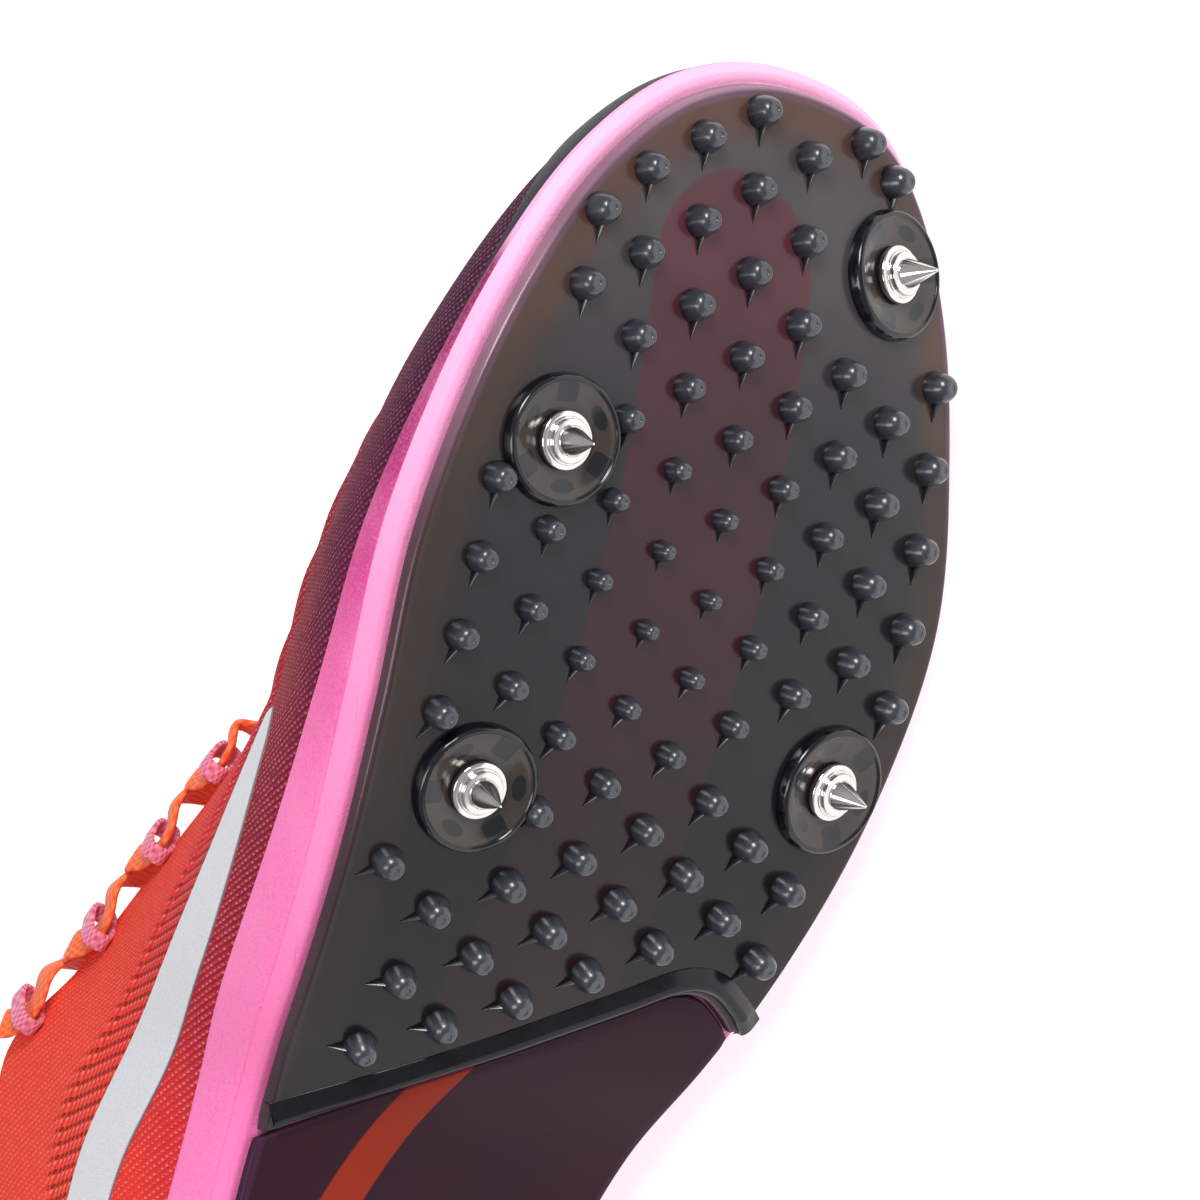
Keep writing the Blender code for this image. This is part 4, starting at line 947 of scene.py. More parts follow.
def lining():
    """Soft brushed lining in dark wine, with a fine grid of pinholes."""
    finish = Finish("soft_lining", Roughness=0.9, Sheen_Weight=0.3, Sheen_Roughness=0.5)
    u, v = finish.chart_mm()
    nap = finish.noise(finish.place(), 3.0)
    across = (u / 2.2).fraction() - 0.5
    along_it = (v / 2.2 + (u / 2.2).floor() * 0.5).fraction() - 0.5
    hole = 1.0 - (across * across + along_it * along_it).root().ease(0.12, 0.2)
    color = finish.mix(nap, shade("4a1220"), shade("7a2030"))
    return finish.done(finish.mix(hole * 0.7, color, shade("18040a")), None, (nap * 0.4 - hole, 0.0003))


def toe_guard_rubber():
    """Thin matt rubber film, dark grey, with a pebble grain."""
    finish = Finish("toe_guard_rubber", Roughness=0.55, IOR=1.45)
    grain = finish.noise(finish.place(), 2.4)
    color = finish.mix(grain, shade("2a262b"), shade("3a363c"))
    return finish.done(color, (grain, 0.45, 0.65), (grain, 0.00008))


def reflective_tape():
    """Pale grey printed tape with fine glitter and a darker line along its edge."""
    finish = Finish("reflective_tape", Roughness=0.5, IOR=1.4)
    place = finish.place()
    glitter = finish.noise(place, 6.0, 2.0, 0.8)
    ribs = finish.noise(place, 0.5, 2.0)
    border = finish.mark()
    color = finish.mix(glitter.ease(0.35, 0.7), shade("cccdd4"), shade("ececf0"))
    color = finish.mix(border * 0.85, color, shade("5d3038"))
    return finish.done(color, (glitter, 0.35, 0.6), (glitter * 0.4 + ribs, 0.0001))


def woven(name, first, second, across_mm, along_mm, depth=0.00012):
    """Plain weave on the piece's chart: warp and weft bumps that take turns, in two close shades."""
    finish = Finish(name, Roughness=0.75, Sheen_Weight=0.2, Sheen_Roughness=0.5)
    u, v = finish.chart_mm()
    warp = (u * (math.pi / across_mm)).sine()
    weft = (v * (math.pi / along_mm)).sine()
    over = (warp * weft) * 0.5 + 0.5
    nap = finish.noise(finish.place(), 3.5)
    color = finish.mix(over, shade(first), shade(second))
    color = finish.mix(nap.ease(0.4, 0.8) * 0.2, color, shade(second))
    return finish.done(color, (over, 0.85, 0.62), (over + nap * 0.3, depth))


FLOOR_GLOW = 0.76


def pale_floor():
    """Matt white paper that glows a little, so that it stays white in the shoe's soft shadow."""
    finish = Finish("pale_floor", Roughness=0.7, Specular_IOR_Level=0.2,
                    Emission_Color=(1.0, 1.0, 1.0, 1.0), Emission_Strength=FLOOR_GLOW)
    cloud = finish.noise(finish.place(), 0.002, 2.0)
    pale = finish.mix(cloud, (0.44, 0.44, 0.44, 1), (0.46, 0.46, 0.46, 1))
    return finish.done(pale)


# Spike plate

def edge_position(x, medial):
    """Station position on the sole's edge at a given x, on one side."""
    tries = np.linspace(0, LAST, 1701)
    tries = tries if medial else ROUND - tries
    return float(tries[np.argmin(np.abs(on_loop(SOLE_LOOP, tries)[:, 0] - x))])


def lip_line(share):
    """Plan points of the plate's rear edge, from share 0 at the lateral end to 1 at the medial."""
    rows = np.array(LIP) * (SHOE_LENGTH, BALL_WIDTH)
    place = np.asarray(share, float) * (len(rows) - 1)
    knots = np.arange(len(rows))
    return joined(along(knots, rows[:, 0], place), along(knots, rows[:, 1], place))


def ladder(medial, lateral, columns, inset):
    """Plan grid between matching points of the two sides, medial in the first column."""
    across = np.linspace(0, 1, columns)[None, :, None]
    return sole_edge(medial, -inset)[:, None] * (1 - across) + sole_edge(lateral, -inset)[:, None] * across


def plate_plan(rungs, columns, inset):
    """Plan grid of the plate. Its first rung is the rear lip, and the bend of the lip fades out."""
    medial = np.linspace(edge_position(LIP[-1][0] * SHOE_LENGTH, True), LAST, rungs)
    lateral = np.linspace(edge_position(LIP[0][0] * SHOE_LENGTH, False), LAST, rungs)
    grid = ladder(medial, lateral, columns, inset)
    bend = lip_line(np.linspace(1, 0, columns)) - grid[0]
    bend[[0, -1]] = 0
    fade = np.linspace(1, 0, rungs)[:, None, None] ** 2
    return grid + bend[None] * fade


def lifted(plan, height):
    """Plan points raised to the underside plus a height."""
    return raised(plan, bottom(plan[..., 0], plan[..., 1]) + height)


def rim_of(grid):
    """Edge points of a grid in order, closed on its first point."""
    parts = [grid[:, 0], grid[-1, 1:], grid[-2::-1, -1], grid[0, -2::-1]]
    return np.concatenate(parts)


def outward(loop):
    """Unit normals in plan of a closed loop of points, pointing out of it."""
    plan = loop[:-1, :2]
    run = np.roll(plan, -1, 0) - np.roll(plan, 1, 0)
    normal = np.stack([run[:, 1], -run[:, 0]], 1)
    area = np.sum(plan[:, 0] * np.roll(plan[:, 1], -1) - np.roll(plan[:, 0], -1) * plan[:, 1])
    normal = unit(normal * np.sign(area))
    return np.concatenate([normal, normal[:1]])


def slab(skin, plan, rise, thickness, radius):
    """A thin sheet under the shoe: a floor that follows the underside, a rim that rounds up from it
    by a quarter circle, an upright side and a ceiling. Its chart holds the distance from the edge."""
    floor = lifted(plan, rise)
    ceiling = lifted(plan, rise + thickness)
    loop = rim_of(floor)
    out = np.concatenate([outward(loop), np.zeros((len(loop), 1))], 1)
    turn = np.linspace(0, math.pi / 2, 7)
    rings = [loop + radius * (math.sin(a) * out + np.array([0, 0, 1 - math.cos(a)])) for a in turn]
    top = rim_of(ceiling)
    rings += [top + radius * out, top]
    edge = sole_edge(np.linspace(0, ROUND, 1400, endpoint=False))
    insets = nearest(plan.reshape(-1, 2), edge).reshape(plan.shape[:2])
    chart = joined(insets, np.zeros_like(insets))
    skin.add(floor, chart)
    skin.add(ceiling, chart)
    depth = [radius * (1 - math.sin(a)) for a in turn] + [0.0, radius]
    side = np.broadcast_to(np.array(depth)[:, None], (len(rings), len(loop)))
    skin.add(np.array(rings), joined(side, side * 0))


def nearest(points, others):
    """Distance from each point to the nearest of the others, in slices to keep arrays small."""
    slices = np.array_split(points, max(1, len(points) // 2000))
    return np.concatenate([np.linalg.norm(p[:, None] - others[None], axis=-1).min(1) for p in slices])


def inside(places, loop):
    """Whether plan points lie inside a closed loop, by crossings of a ray along x."""
    after = np.roll(loop, -1, 0)
    low, high = loop[None, :, 1], after[None, :, 1]
    straddle = (low > places[:, 1:2]) != (high > places[:, 1:2])
    rise = np.where(straddle, high - low, 1.0)
    cross = loop[None, :, 0] + (places[:, 1:2] - low) * (after[None, :, 0] - loop[None, :, 0]) / rise
    return np.count_nonzero(straddle & (cross > places[:, :1]), axis=1) % 2 == 1


def nub_places():
    """Plan points of a triangular lattice that lie on the plate, clear of lip and bosses. At the
    toe the outermost ones move in from the edge."""
    start = np.array(FIRST_NUB) * (SHOE_LENGTH, BALL_WIDTH)
    i, j = np.meshgrid(np.arange(-3, 14), np.arange(-7, 8), indexing="ij")
    row = NUB_PITCH * np.array([-1.0, 0.0])
    column = NUB_PITCH * np.array([-0.5, -math.sqrt(3) / 2])
    places = start + i.reshape(-1, 1) * row + j.reshape(-1, 1) * column
    edge = sole_edge(np.linspace(0, ROUND, 12 * ROUND, endpoint=False))
    lip = lip_line(np.linspace(0, 1, 60))
    near = lip[np.abs(lip[None, :, 1] - places[:, 1:2]).argmin(1)]
    keep = inside(places, edge) & (places[:, 0] >= near[:, 0])
    for bare in BARE_NUBS:
        keep &= ~((i.ravel() == bare[0]) & (j.ravel() == bare[1]))
    gaps = np.linalg.norm(places[:, None] - edge[None], axis=-1)
    margin = gaps.min(1)
    at_toe = (places[:, 0] >= TOE_NUBS_FROM * SHOE_LENGTH) & (margin >= NUB_EDGE_MARGIN / 12)
    keep &= (margin >= NUB_EDGE_MARGIN) | at_toe
    rim = edge[gaps.argmin(1)]
    moved = rim + (places - rim) * (np.maximum(margin, NUB_EDGE_MARGIN) / margin)[:, None]
    keep &= nearest(moved, lip) >= NUB_LIP_MARGIN
    keep &= nearest(moved, spike_places()) >= BOSS_RADIUS + NUB_BOSS_MARGIN
    return moved[keep]


def spike_places():
    return np.array([(x, y) for x, y, _ in SPIKES.values()]) * (SHOE_LENGTH, BALL_WIDTH)


# The smallest nub, as a share of a full one, where it stands, and how many ball widths from it nubs
# are full size
NUB_SMALLEST = 0.60
NUB_MIDDLE = (0.735, -0.06)
NUB_REACH = 0.46


def nub_sizes(places):
    """Nubs are full size near the plate's edge and smaller in the middle of the forefoot."""
    away = np.linalg.norm(places - np.array(NUB_MIDDLE) * (SHOE_LENGTH, BALL_WIDTH), axis=1)
    return NUB_SMALLEST + (1 - NUB_SMALLEST) * ease(away, 0, NUB_REACH * BALL_WIDTH)


# Share of the length behind which fins swing, the shares over which they do, and the most degrees
FIN_SWING_FROM = 0.76
FIN_SWING_OVER = 0.25
FIN_SWING = 75


def fin_ways(places):
    """A fin points back, and swings towards the lateral side in the rear rows."""
    back = np.clip((FIN_SWING_FROM * SHOE_LENGTH - places[:, 0]) / (FIN_SWING_OVER * SHOE_LENGTH), 0, 1)
    side = np.clip(0.5 - places[:, 1] / BALL_WIDTH, 0, 1)
    angle = math.radians(FIN_SWING) * back * (0.55 + 0.45 * side)
    return joined(-np.cos(angle), -np.sin(angle), np.zeros_like(angle))


def make_plate(finishes):
    """The plate with its rounded rim and the rear bead, and the nubs and fins."""
    skin = Skin("forefoot_plate_body")
    slab(skin, plate_plan(90, 56, PLATE_EDGE_ROUND), 0.0, PLATE_THICKNESS, PLATE_EDGE_ROUND)
    add_lip(skin)
    skin.build(finishes, "forefoot_plate", ["forefoot_plate"], 50)

    places = nub_places()
    sizes = nub_sizes(places)
    ways = fin_ways(places)
    tall = 0.5 + 0.5 * sizes
    spread = joined(sizes, sizes, tall)
    studs = Skin("plate_nubs")
    profile = eased_profile((
        (0.0, -SINK, 0), (NUB_RADIUS, -SINK, 0), (NUB_RADIUS, 0.00005, 0.0002),
        (0.97 * NUB_RADIUS, 0.16 * NUB_HEIGHT, 0.0003), (0.84 * NUB_RADIUS, 0.58 * NUB_HEIGHT, 0.0007),
        (0.62 * NUB_RADIUS, 0.92 * NUB_HEIGHT, 0.0006), (0.40 * NUB_RADIUS, NUB_HEIGHT, 0.0003),
        (0.22 * NUB_RADIUS, NUB_HEIGHT, 0.00008), (0.18 * NUB_RADIUS, 0.965 * NUB_HEIGHT, 0.00008),
        (0.0, 0.96 * NUB_HEIGHT, 0)), 5)
    nub = turned(profile, 26)
    studs.add(*copies_on_plate(nub, spread, places, ways))
    narrow = spread * (1, 0, 1) + (0, 1, 0)
    studs.add(*copies_on_plate(fin_grid(), narrow, places, ways))
    studs.build([slate_nub()], "forefoot_plate", (), 50)


def copies_on_plate(shape, scales, places, ways):
    """Copies of a grid on the plate, each with its own scale, and a chart of their heights."""
    copies = np.moveaxis(shape[:, :, None, :] * scales, 2, 0)
    chart = np.concatenate([np.zeros_like(copies[..., 2:]), copies[..., 2:]], -1)
    return np.moveaxis(on_plate(np.moveaxis(copies, 0, 2), places, ways), 2, 0), chart


def fin_grid():
    """A fin: from a tall end inside the nub down to a point, its section a thin rounded wedge."""
    length = np.linspace(0.30 * NUB_RADIUS, FIN_LENGTH, 9)
    part = np.linspace(0, 1, 9)
    top = 0.55 * NUB_HEIGHT * (1 - part) ** 1.1 + 0.02 * NUB_HEIGHT
    half = FIN_THICKNESS / 2 * (1 - 0.8 * part)
    angle = np.linspace(-0.5 * math.pi, 1.5 * math.pi, 13)
    across = np.cos(angle)[None] * half[:, None]
    high = np.where(np.sin(angle) > 0, np.sin(angle)[None] * top[:, None], np.sin(angle)[None] * SINK)
    grid = joined(length[:, None], across, high)
    return capped(grid)


def add_lip(skin):
    """The bead along the plate's rear edge: a round ridge with a groove before it."""
    shares = np.linspace(0.01, 0.99, 150)
    plan = lip_line(shares)
    run = unit(np.gradient(plan, axis=0))
    side = np.stack([-run[:, 1], run[:, 0]], 1)
    taper = np.clip(0.20 + 6.0 * shares, 0, 1) * np.clip(0.5 + 6.0 * (1 - shares), 0, 1)
    section = eased_profile((
        (0.5, -0.5, 0), (0.5, 0.62, 0.16), (0.34, 1.0, 0.14), (0.10, 0.95, 0.14), (-0.5, 0.04, 0.1),
        (-0.5, -0.5, 0), (0.5, -0.5, 0)), 6)
    middle = plan - side * 0.5 * LIP_WIDTH
    flat = middle[:, None] + side[:, None] * (section[None, :, :1] * LIP_WIDTH)
    down = np.where(section[None, :, 1] > 0, section[None, :, 1] * taper[:, None], section[None, :, 1])
    skin.add(capped(lifted(flat, -LIP_HEIGHT * down)), None, 1)


def make_bosses(finish):
    """Raised rings with a shallow see-through bowl inside, one under each spike."""
    skin = Skin("spike_bosses")
    profile = eased_profile((
        (0.0, -SINK, 0), (BOSS_RADIUS, -SINK, 0), (BOSS_RADIUS, 0.0002, 0.0003),
        (0.965 * BOSS_RADIUS, 0.95 * BOSS_HEIGHT, 0.0006), (0.90 * BOSS_RADIUS, BOSS_HEIGHT, 0.0003),
        (0.875 * BOSS_RADIUS, 0.80 * BOSS_HEIGHT, 0.0002), (0.80 * BOSS_RADIUS, 0.76 * BOSS_HEIGHT, 0.0005),
        (0.56 * BOSS_RADIUS, 0.42 * BOSS_HEIGHT, 0.0012), (0.40 * BOSS_RADIUS, BOWL_FLOOR, 0.0004),
        (0.0, BOWL_FLOOR, 0)), 5)
    boss = turned(profile, 72)
    for (x, y, angle), place in zip(SPIKES.values(), spike_places()):
        grid = set_on_plate(boss, place, 1.0)
        turn = math.radians(angle)
        spin = np.array([[math.cos(turn), math.sin(turn)], [-math.sin(turn), math.cos(turn)]])
        skin.add(grid, boss[..., :2] @ spin)
    skin.build([finish], "forefoot_plate", (), 40)


def make_spikes(finish):
    """Four turned spikes: a flange of two steps, a short neck and a sharp cone."""
    flange = SPIKE_FLANGE_RADIUS
    length = SPIKE_LENGTH
    rows = (
        # radius, height over the seat, round
        (0.0, 0.0, 0), (0.97 * flange, 0.0, 0.0001), (flange, 0.0003, 0.0002),
        (flange, 0.125 * length, 0.0002), (0.90 * flange, 0.145 * length, 0.00015),
        (0.83 * flange, 0.15 * length, 0.0001), (0.81 * flange, 0.175 * length, 0.0001),
        (SPIKE_STEP_RADIUS, 0.18 * length, 0.0001), (SPIKE_STEP_RADIUS, 0.27 * length, 0.0002),
        (SPIKE_CONE_RADIUS + 0.0002, 0.285 * length, 0.00025),
        (SPIKE_CONE_RADIUS, 0.36 * length, 0.0004), (0.00016, 0.985 * length, 0.0002), (0.0, length, 0))
    seat = BOWL_FLOOR + GAP
    shape = turned(eased_profile([(radius, seat + height, size) for radius, height, size in rows], 6), 64)
    chart = joined(np.linalg.norm(shape[..., :2], axis=-1), shape[..., 2])
    for name, place in zip(SPIKES, spike_places()):
        grid = set_on_plate(shape, place, -1.0)
        Skin(name + "_turned").add(grid, chart).build([finish], "spike", [name], 50)


# Rear sheet, foam and insole

def make_rear_sheet(finish):
    """The thin sheet behind the plate's lip."""
    inset = REAR_EDGE_ROUND
    apart = PLATE_EDGE_ROUND + inset + GAP
    medial = np.linspace(0, edge_position(LIP[-1][0] * SHOE_LENGTH - 1.4 * apart, True), 80)
    lateral = np.linspace(ROUND, edge_position(LIP[0][0] * SHOE_LENGTH - 1.4 * apart, False), 80)
    plan = ladder(medial, lateral, 50, inset)
    lip = lip_line(np.linspace(1, 0, 50))
    run = unit(np.gradient(lip, axis=0))
    bend = lip + apart * np.stack([run[:, 1], -run[:, 0]], 1) - plan[-1]
    bend[[0, -1]] = 0
    plan = plan + bend[None] * np.linspace(0, 1, 80)[:, None, None] ** 3
    skin = Skin("rear_sheet")
    slab(skin, plan, PLATE_THICKNESS - REAR_SHEET, REAR_SHEET, inset)
    skin.build([finish], "rear_outsole", ["rear_outsole"], 50)


def footbed(inset, lift, rungs, columns):
    """Grid of the foot bed, dished a little, at a lift above it."""
    medial = np.linspace(0, LAST, rungs)
    sides = [foam_rim(medial, -inset), foam_rim(ROUND - medial, -inset)]
    across = np.linspace(0, 1, columns)[None, :, None]
    grid = sides[0][:, None] * (1 - across) + sides[1][:, None] * across
    span = np.abs(sides[0][:, 1] - sides[1][:, 1]) / BALL_WIDTH
    grid[..., 2] += lift - FOOTBED_DEPTH - FOOTBED_DISH * 4 * (across * (1 - across))[..., 0] * span[:, None]
    return grid


def foam_section():
    """Outset, height and band share of the foam's side: a small bevel, a flared lower band that
    swells a little, a creased line, an upper band that leans in, a rounded top and the ledge.
    Heights below 1 are shares of the lower band, those above go on to the top of the wall."""
    low = [(0.06, 0.00), (0.22, 0.008), (0.38, 0.03), (0.47, 0.08), (0.60, 0.24), (0.76, 0.48),
           (0.92, 0.72), (1.00, 0.84), (1.02, 0.90), (0.99, 0.95), (0.90, 0.985), (0.80, 1.0)]
    high = [(0.78, 1.02), (0.86, 1.06), (0.93, 1.14), (0.97, 1.28), (0.98, 1.45), (0.95, 1.62),
            (0.91, 1.78), (0.86, 1.90), (0.80, 1.96), (0.68, 1.99), (0.50, 2.00)]
    return np.array(low + high)


def make_foam(finish):
    """Foam from the plate up to the foot bed, one closed body."""
    skin = Skin("foam_midsole")
    rungs, columns = 180, 12
    medial = np.linspace(0, LAST, rungs)
    floor = lifted(ladder(medial, ROUND - medial, columns, 0.0), PLATE_THICKNESS + GAP)
    position = np.concatenate([medial, (ROUND - medial[:-1])[::-1]])
    edge = sole_edge(position)
    base = bottom(edge[:, 0], edge[:, 1]) + PLATE_THICKNESS + GAP
    wall = on_loop(WALL_LOOP, position)
    band = np.minimum(on_loop(BAND_LOOP, position), 0.86 * wall)
    section = foam_section()
    outset, level = section[:, :1], section[:, 1:]
    height = np.where(level <= 1, level * band, band + (level - 1) * (wall - band))
    out = outset * BAND_FLARE * np.ones_like(height)
    rows = [raised(edge, base)]
    rows += [raised(sole_edge(position, o), base + h) for o, h in zip(out, height)]
    ledge = sole_edge(position, np.full(len(position), -LEDGE_INSET))
    rows.append(raised(ledge, base + wall))
    bed = footbed(LEDGE_INSET, 0.0, rungs, columns)
    rows.append(np.concatenate([bed[:, 0], bed[:-1, -1][::-1]]))
    grid = np.array(rows)
    run = np.broadcast_to(arcs(edge, 0), grid.shape[:2])
    high = np.concatenate([np.zeros((1, len(position))), height, wall[None], wall[None]])
    level = np.concatenate([[[0.0]], level, [[2.0], [2.0]]])
    skin.add(grid, joined(run, high), 0, np.broadcast_to(level, grid.shape[:2]))
    skin.add(floor, None, 0, 0.0)
    skin.add(bed, None, 0, 2.0)
    return skin.build([finish], "midsole", ["midsole"], 60)


def make_insole(finish):
    """A thin padded sock liner: it swells a little in the middle and rounds down at its edge."""
    skin = Skin("sock_liner")
    inset = LEDGE_INSET + GAP
    columns = 40
    low = footbed(inset, GAP, 110, columns)
    high = footbed(inset, GAP, 110, columns)
    across = np.linspace(-1, 1, columns)
    part = np.linspace(-1, 1, 110)
    swell = (1 - np.abs(across) ** 8)[None] * (1 - np.abs(part) ** 30)[:, None]
    high[..., 2] += INSOLE_THICKNESS * (0.35 + 0.65 * swell)
    chart = joined(high[..., 0], high[..., 1])
    skin.add(low, chart)
    skin.add(high, chart)
    skin.add(np.stack([rim_of(low), rim_of(high)]), None)
    piece = skin.build([finish], "insole", ["insole"], 60)


# Upper

def open_zone(position, share):
    """1 where the knit opens into slits: on the lateral side between the side strip and the throat
    panel, and the same on the medial side."""
    station = station_of(position)
    low = strip_share(position)
    high = np.interp(station, (5.5, 6.5, 7.5, 8.7, 9.5, 10.2), (0.70, 0.68, 0.66, 0.64, 0.63, 0.56))
    sides = ease(share, low - 0.01, low + 0.02) * (1 - ease(share, high - 0.05, high + 0.01))
    return sides * ease(station, 5.6, 6.4) * (1 - ease(station, 9.8, 10.3))


STRIP = ((2.6, 0.44), (4.0, 0.43), (5.4, 0.42), (6.6, 0.385), (7.5, 0.325), (8.5, 0.29), (9.2, 0.29),
         (9.9, 0.34), (10.4, 0.40), (10.9, 0.47))
STRIP_HALF = 0.0066
STRIP_HEIGHT = 0.0005


def strip_share(position):
    """Share up the ribs of the side strip's middle line."""
    rows = np.array(STRIP)
    return along(rows[:, 0], rows[:, 1], station_of(position))


def make_upper(knit, inner):
    """One thin shell: the outer face with its soft forms, the lining a wall inside it, a rounded
    top edge that is thicker round the collar, and the foot edge that stands on the foam."""
    skin = Skin("upper_shell")
    position = np.linspace(0, ROUND, 421)
    share = np.concatenate([np.linspace(0, 0.9, 76), np.linspace(0.9, 1, 13)[1:]])
    where, level = np.meshgrid(position, share)
    outer = upper_face(where, level)
    up = arcs(outer, 0)
    run = upper_form(where, level)[..., 0]
    skin.add(outer, joined(run, up), 0, open_zone(where, level))
    thick = UPPER_WALL + COLLAR_PAD * collar_fade(where) * ease(level, 0.45, 0.9)
    inside_face = outer - thick[..., None] * upper_normal(where, level)
    inside_face[0, :, 2] = outer[0, :, 2]
    top = np.ones_like(position)
    normal = upper_normal(position, top)
    rise = unit(upper_form(position, top) - upper_form(position, 0.985 * top))
    half = thick[-1][:, None] / 2
    turn = np.linspace(0, math.pi, 11)
    middle = (outer[-1] + inside_face[-1]) / 2
    rim = np.array([middle + half * (math.cos(a) * normal + math.sin(a) * rise) for a in turn])
    rim_up = up[-1] + turn[:, None] / math.pi * thick[-1]
    skin.add(rim, joined(run[-1], rim_up), 0)
    skin.add(inside_face[::-1], joined(run, up)[::-1], 1)
    foot = np.stack([inside_face[0], outer[0]])
    skin.add(foot, joined(run[:2], up[:2]), 1)
    return skin.build([knit, inner], "upper", ["upper"], 70)


# How deep a panel's borders and its back lie in the upper
BORDER_DEPTH = 0.00012
BACK_DEPTH = 0.0003


def patch(skin, position, share, height, border):
    """A thin panel on the upper: its face stands height above the upper and rolls down into it
    along the grid's borders. border is 0 on the border and 1 inside. The mark is 1 near the border."""
    top = upper_face(position, share, height * border - BORDER_DEPTH)
    back = upper_face(position, share, np.full_like(border, -BACK_DEPTH))
    mark = 1 - ease(border, 0.75, 0.999)
    chart = joined(arcs(top, 1), arcs(top, 0))
    skin.add(top, chart, 0, mark)
    skin.add(back, chart, 0, mark)
    skin.add(np.stack([rim_of(back), rim_of(top)]), None, 0, 1.0)


def border_profile(count, edge):
    """Places across a panel, from 0 to 1, crowded at the ends, and how far up its rounded side each
    stands: a quarter circle over the share edge."""
    t = rounded(0.0, 1.0, edge, count)
    return t, quarter(np.minimum(t, 1 - t) / edge)


def make_side_strip(finish):
    """A plain reflective strip along the lateral side: constant width, round ends."""
    skin = Skin("side_strip")
    t, lift = border_profile(16, 0.035)
    stations = np.linspace(STRIP[0][0], STRIP[-1][0], 201)
    middle = upper_form(ROUND - stations, strip_share(stations))
    length = arcs(middle, 0)
    reach = np.minimum(length, length[-1] - length)
    width = np.maximum(STRIP_HALF * quarter(reach / STRIP_HALF), 0.00005)
    line = strip_share(stations)
    rib = rib_length(ROUND - stations, line - 0.05, line + 0.05)
    share = line[None] + (t[:, None] - 0.5) * 2 * width[None] / rib[None]
    where = np.broadcast_to(ROUND - stations, share.shape)
    patch(skin, where, share, STRIP_HEIGHT, lift[:, None] * quarter(reach / STRIP_HEIGHT)[None])
    skin.build([finish], "upper", (), 60)


GUARD_ENDS = (13.6, 20.8)
GUARD_HEIGHT = 0.0065
GUARD_THICKNESS = 0.0005
GUARD_LOW_SHARE = 0.004


def make_toe_guard(finish):
    """A thin rubber guard round the toe, on the upper just above the foam: highest at the toe tip,
    and tapering to nothing along both sides."""
    skin = Skin("toe_guard")
    position = np.linspace(*GUARD_ENDS, 181)
    t, lift = border_profile(10, 0.06)
    middle = (GUARD_ENDS[0] + GUARD_ENDS[1]) / 2
    reach = 1 - np.abs(position - middle) / (GUARD_ENDS[1] - middle)
    tall = GUARD_HEIGHT * ease(reach, 0, 0.75) + 0.0002
    rib = rib_length(position, np.zeros_like(position), np.full_like(position, 0.1))
    share = GUARD_LOW_SHARE + t[:, None] * (tall / rib)[None]
    where = np.broadcast_to(position, share.shape)
    patch(skin, where, share, GUARD_THICKNESS, lift[:, None] * quarter(reach / 0.02)[None])
    skin.build([finish], "upper", (), 60)


# Tongue

THROAT_FRONT = 12.4
THROAT_TOP = 7.0
TONGUE_SIDE = 0.84
# The tongue's two channels: depth, place and half width, as shares of half the tongue's size
CHANNEL_DEPTH = 0.18
CHANNEL_PLACE = 0.34
CHANNEL_HALF = 0.05
# Rows of the tongue's free end: how far along it, and how wide against the throat's top
TONGUE_FREE = ((0.26, 0.96), (0.44, 0.92), (0.63, 0.87), (0.81, 0.80), (0.93, 0.71), (1.0, 0.60))


def throat_row(position, depth, columns):
    """Points across the throat at a station, from under the medial edge to under the lateral edge,
    depth inside the upper's face, and humped by the crown in the middle."""
    shares = (TONGUE_SIDE, 0.93, 1.0)
    medial = [upper_layer(np.array(position), np.array(s), depth) for s in shares]
    lateral = [upper_layer(np.array(ROUND - position), np.array(s), depth) for s in shares[::-1]]
    middle = (medial[-1] + lateral[0]) / 2 + np.array([0, 0, TONGUE_CROWN])
    return smooth_path(np.array(medial + [middle] + lateral), np.linspace(0, 6, columns))


def tongue_sheet(depth, columns, rows):
    """Grid of the tongue at a depth: round the front of the throat, up the throat, then a free end
    that goes on the same way and narrows."""
    grid = []
    for start, reach in ((THROAT_FRONT + 1.0, 0.90), (THROAT_FRONT + 0.5, 0.995)):
        position = np.linspace(start, ROUND - start, columns)
        share = TONGUE_SIDE + (reach - TONGUE_SIDE) * np.sin(np.linspace(0, math.pi, columns))
        grid.append(upper_layer(position, share, depth))
    for position in np.linspace(THROAT_FRONT, THROAT_TOP, rows):
        grid.append(throat_row(position, depth, columns))
    top = grid[-1]
    run = unit(grid[-1][columns // 2] - grid[-4][columns // 2])
    across = np.linspace(-1, 1, columns)[:, None]
    for step, narrow in TONGUE_FREE:
        middle = top.mean(0)
        row = middle + (top - middle) * narrow
        grid.append(row + run * TONGUE_FREE_END * (step - 0.15 * across**2))
    return np.array(grid)


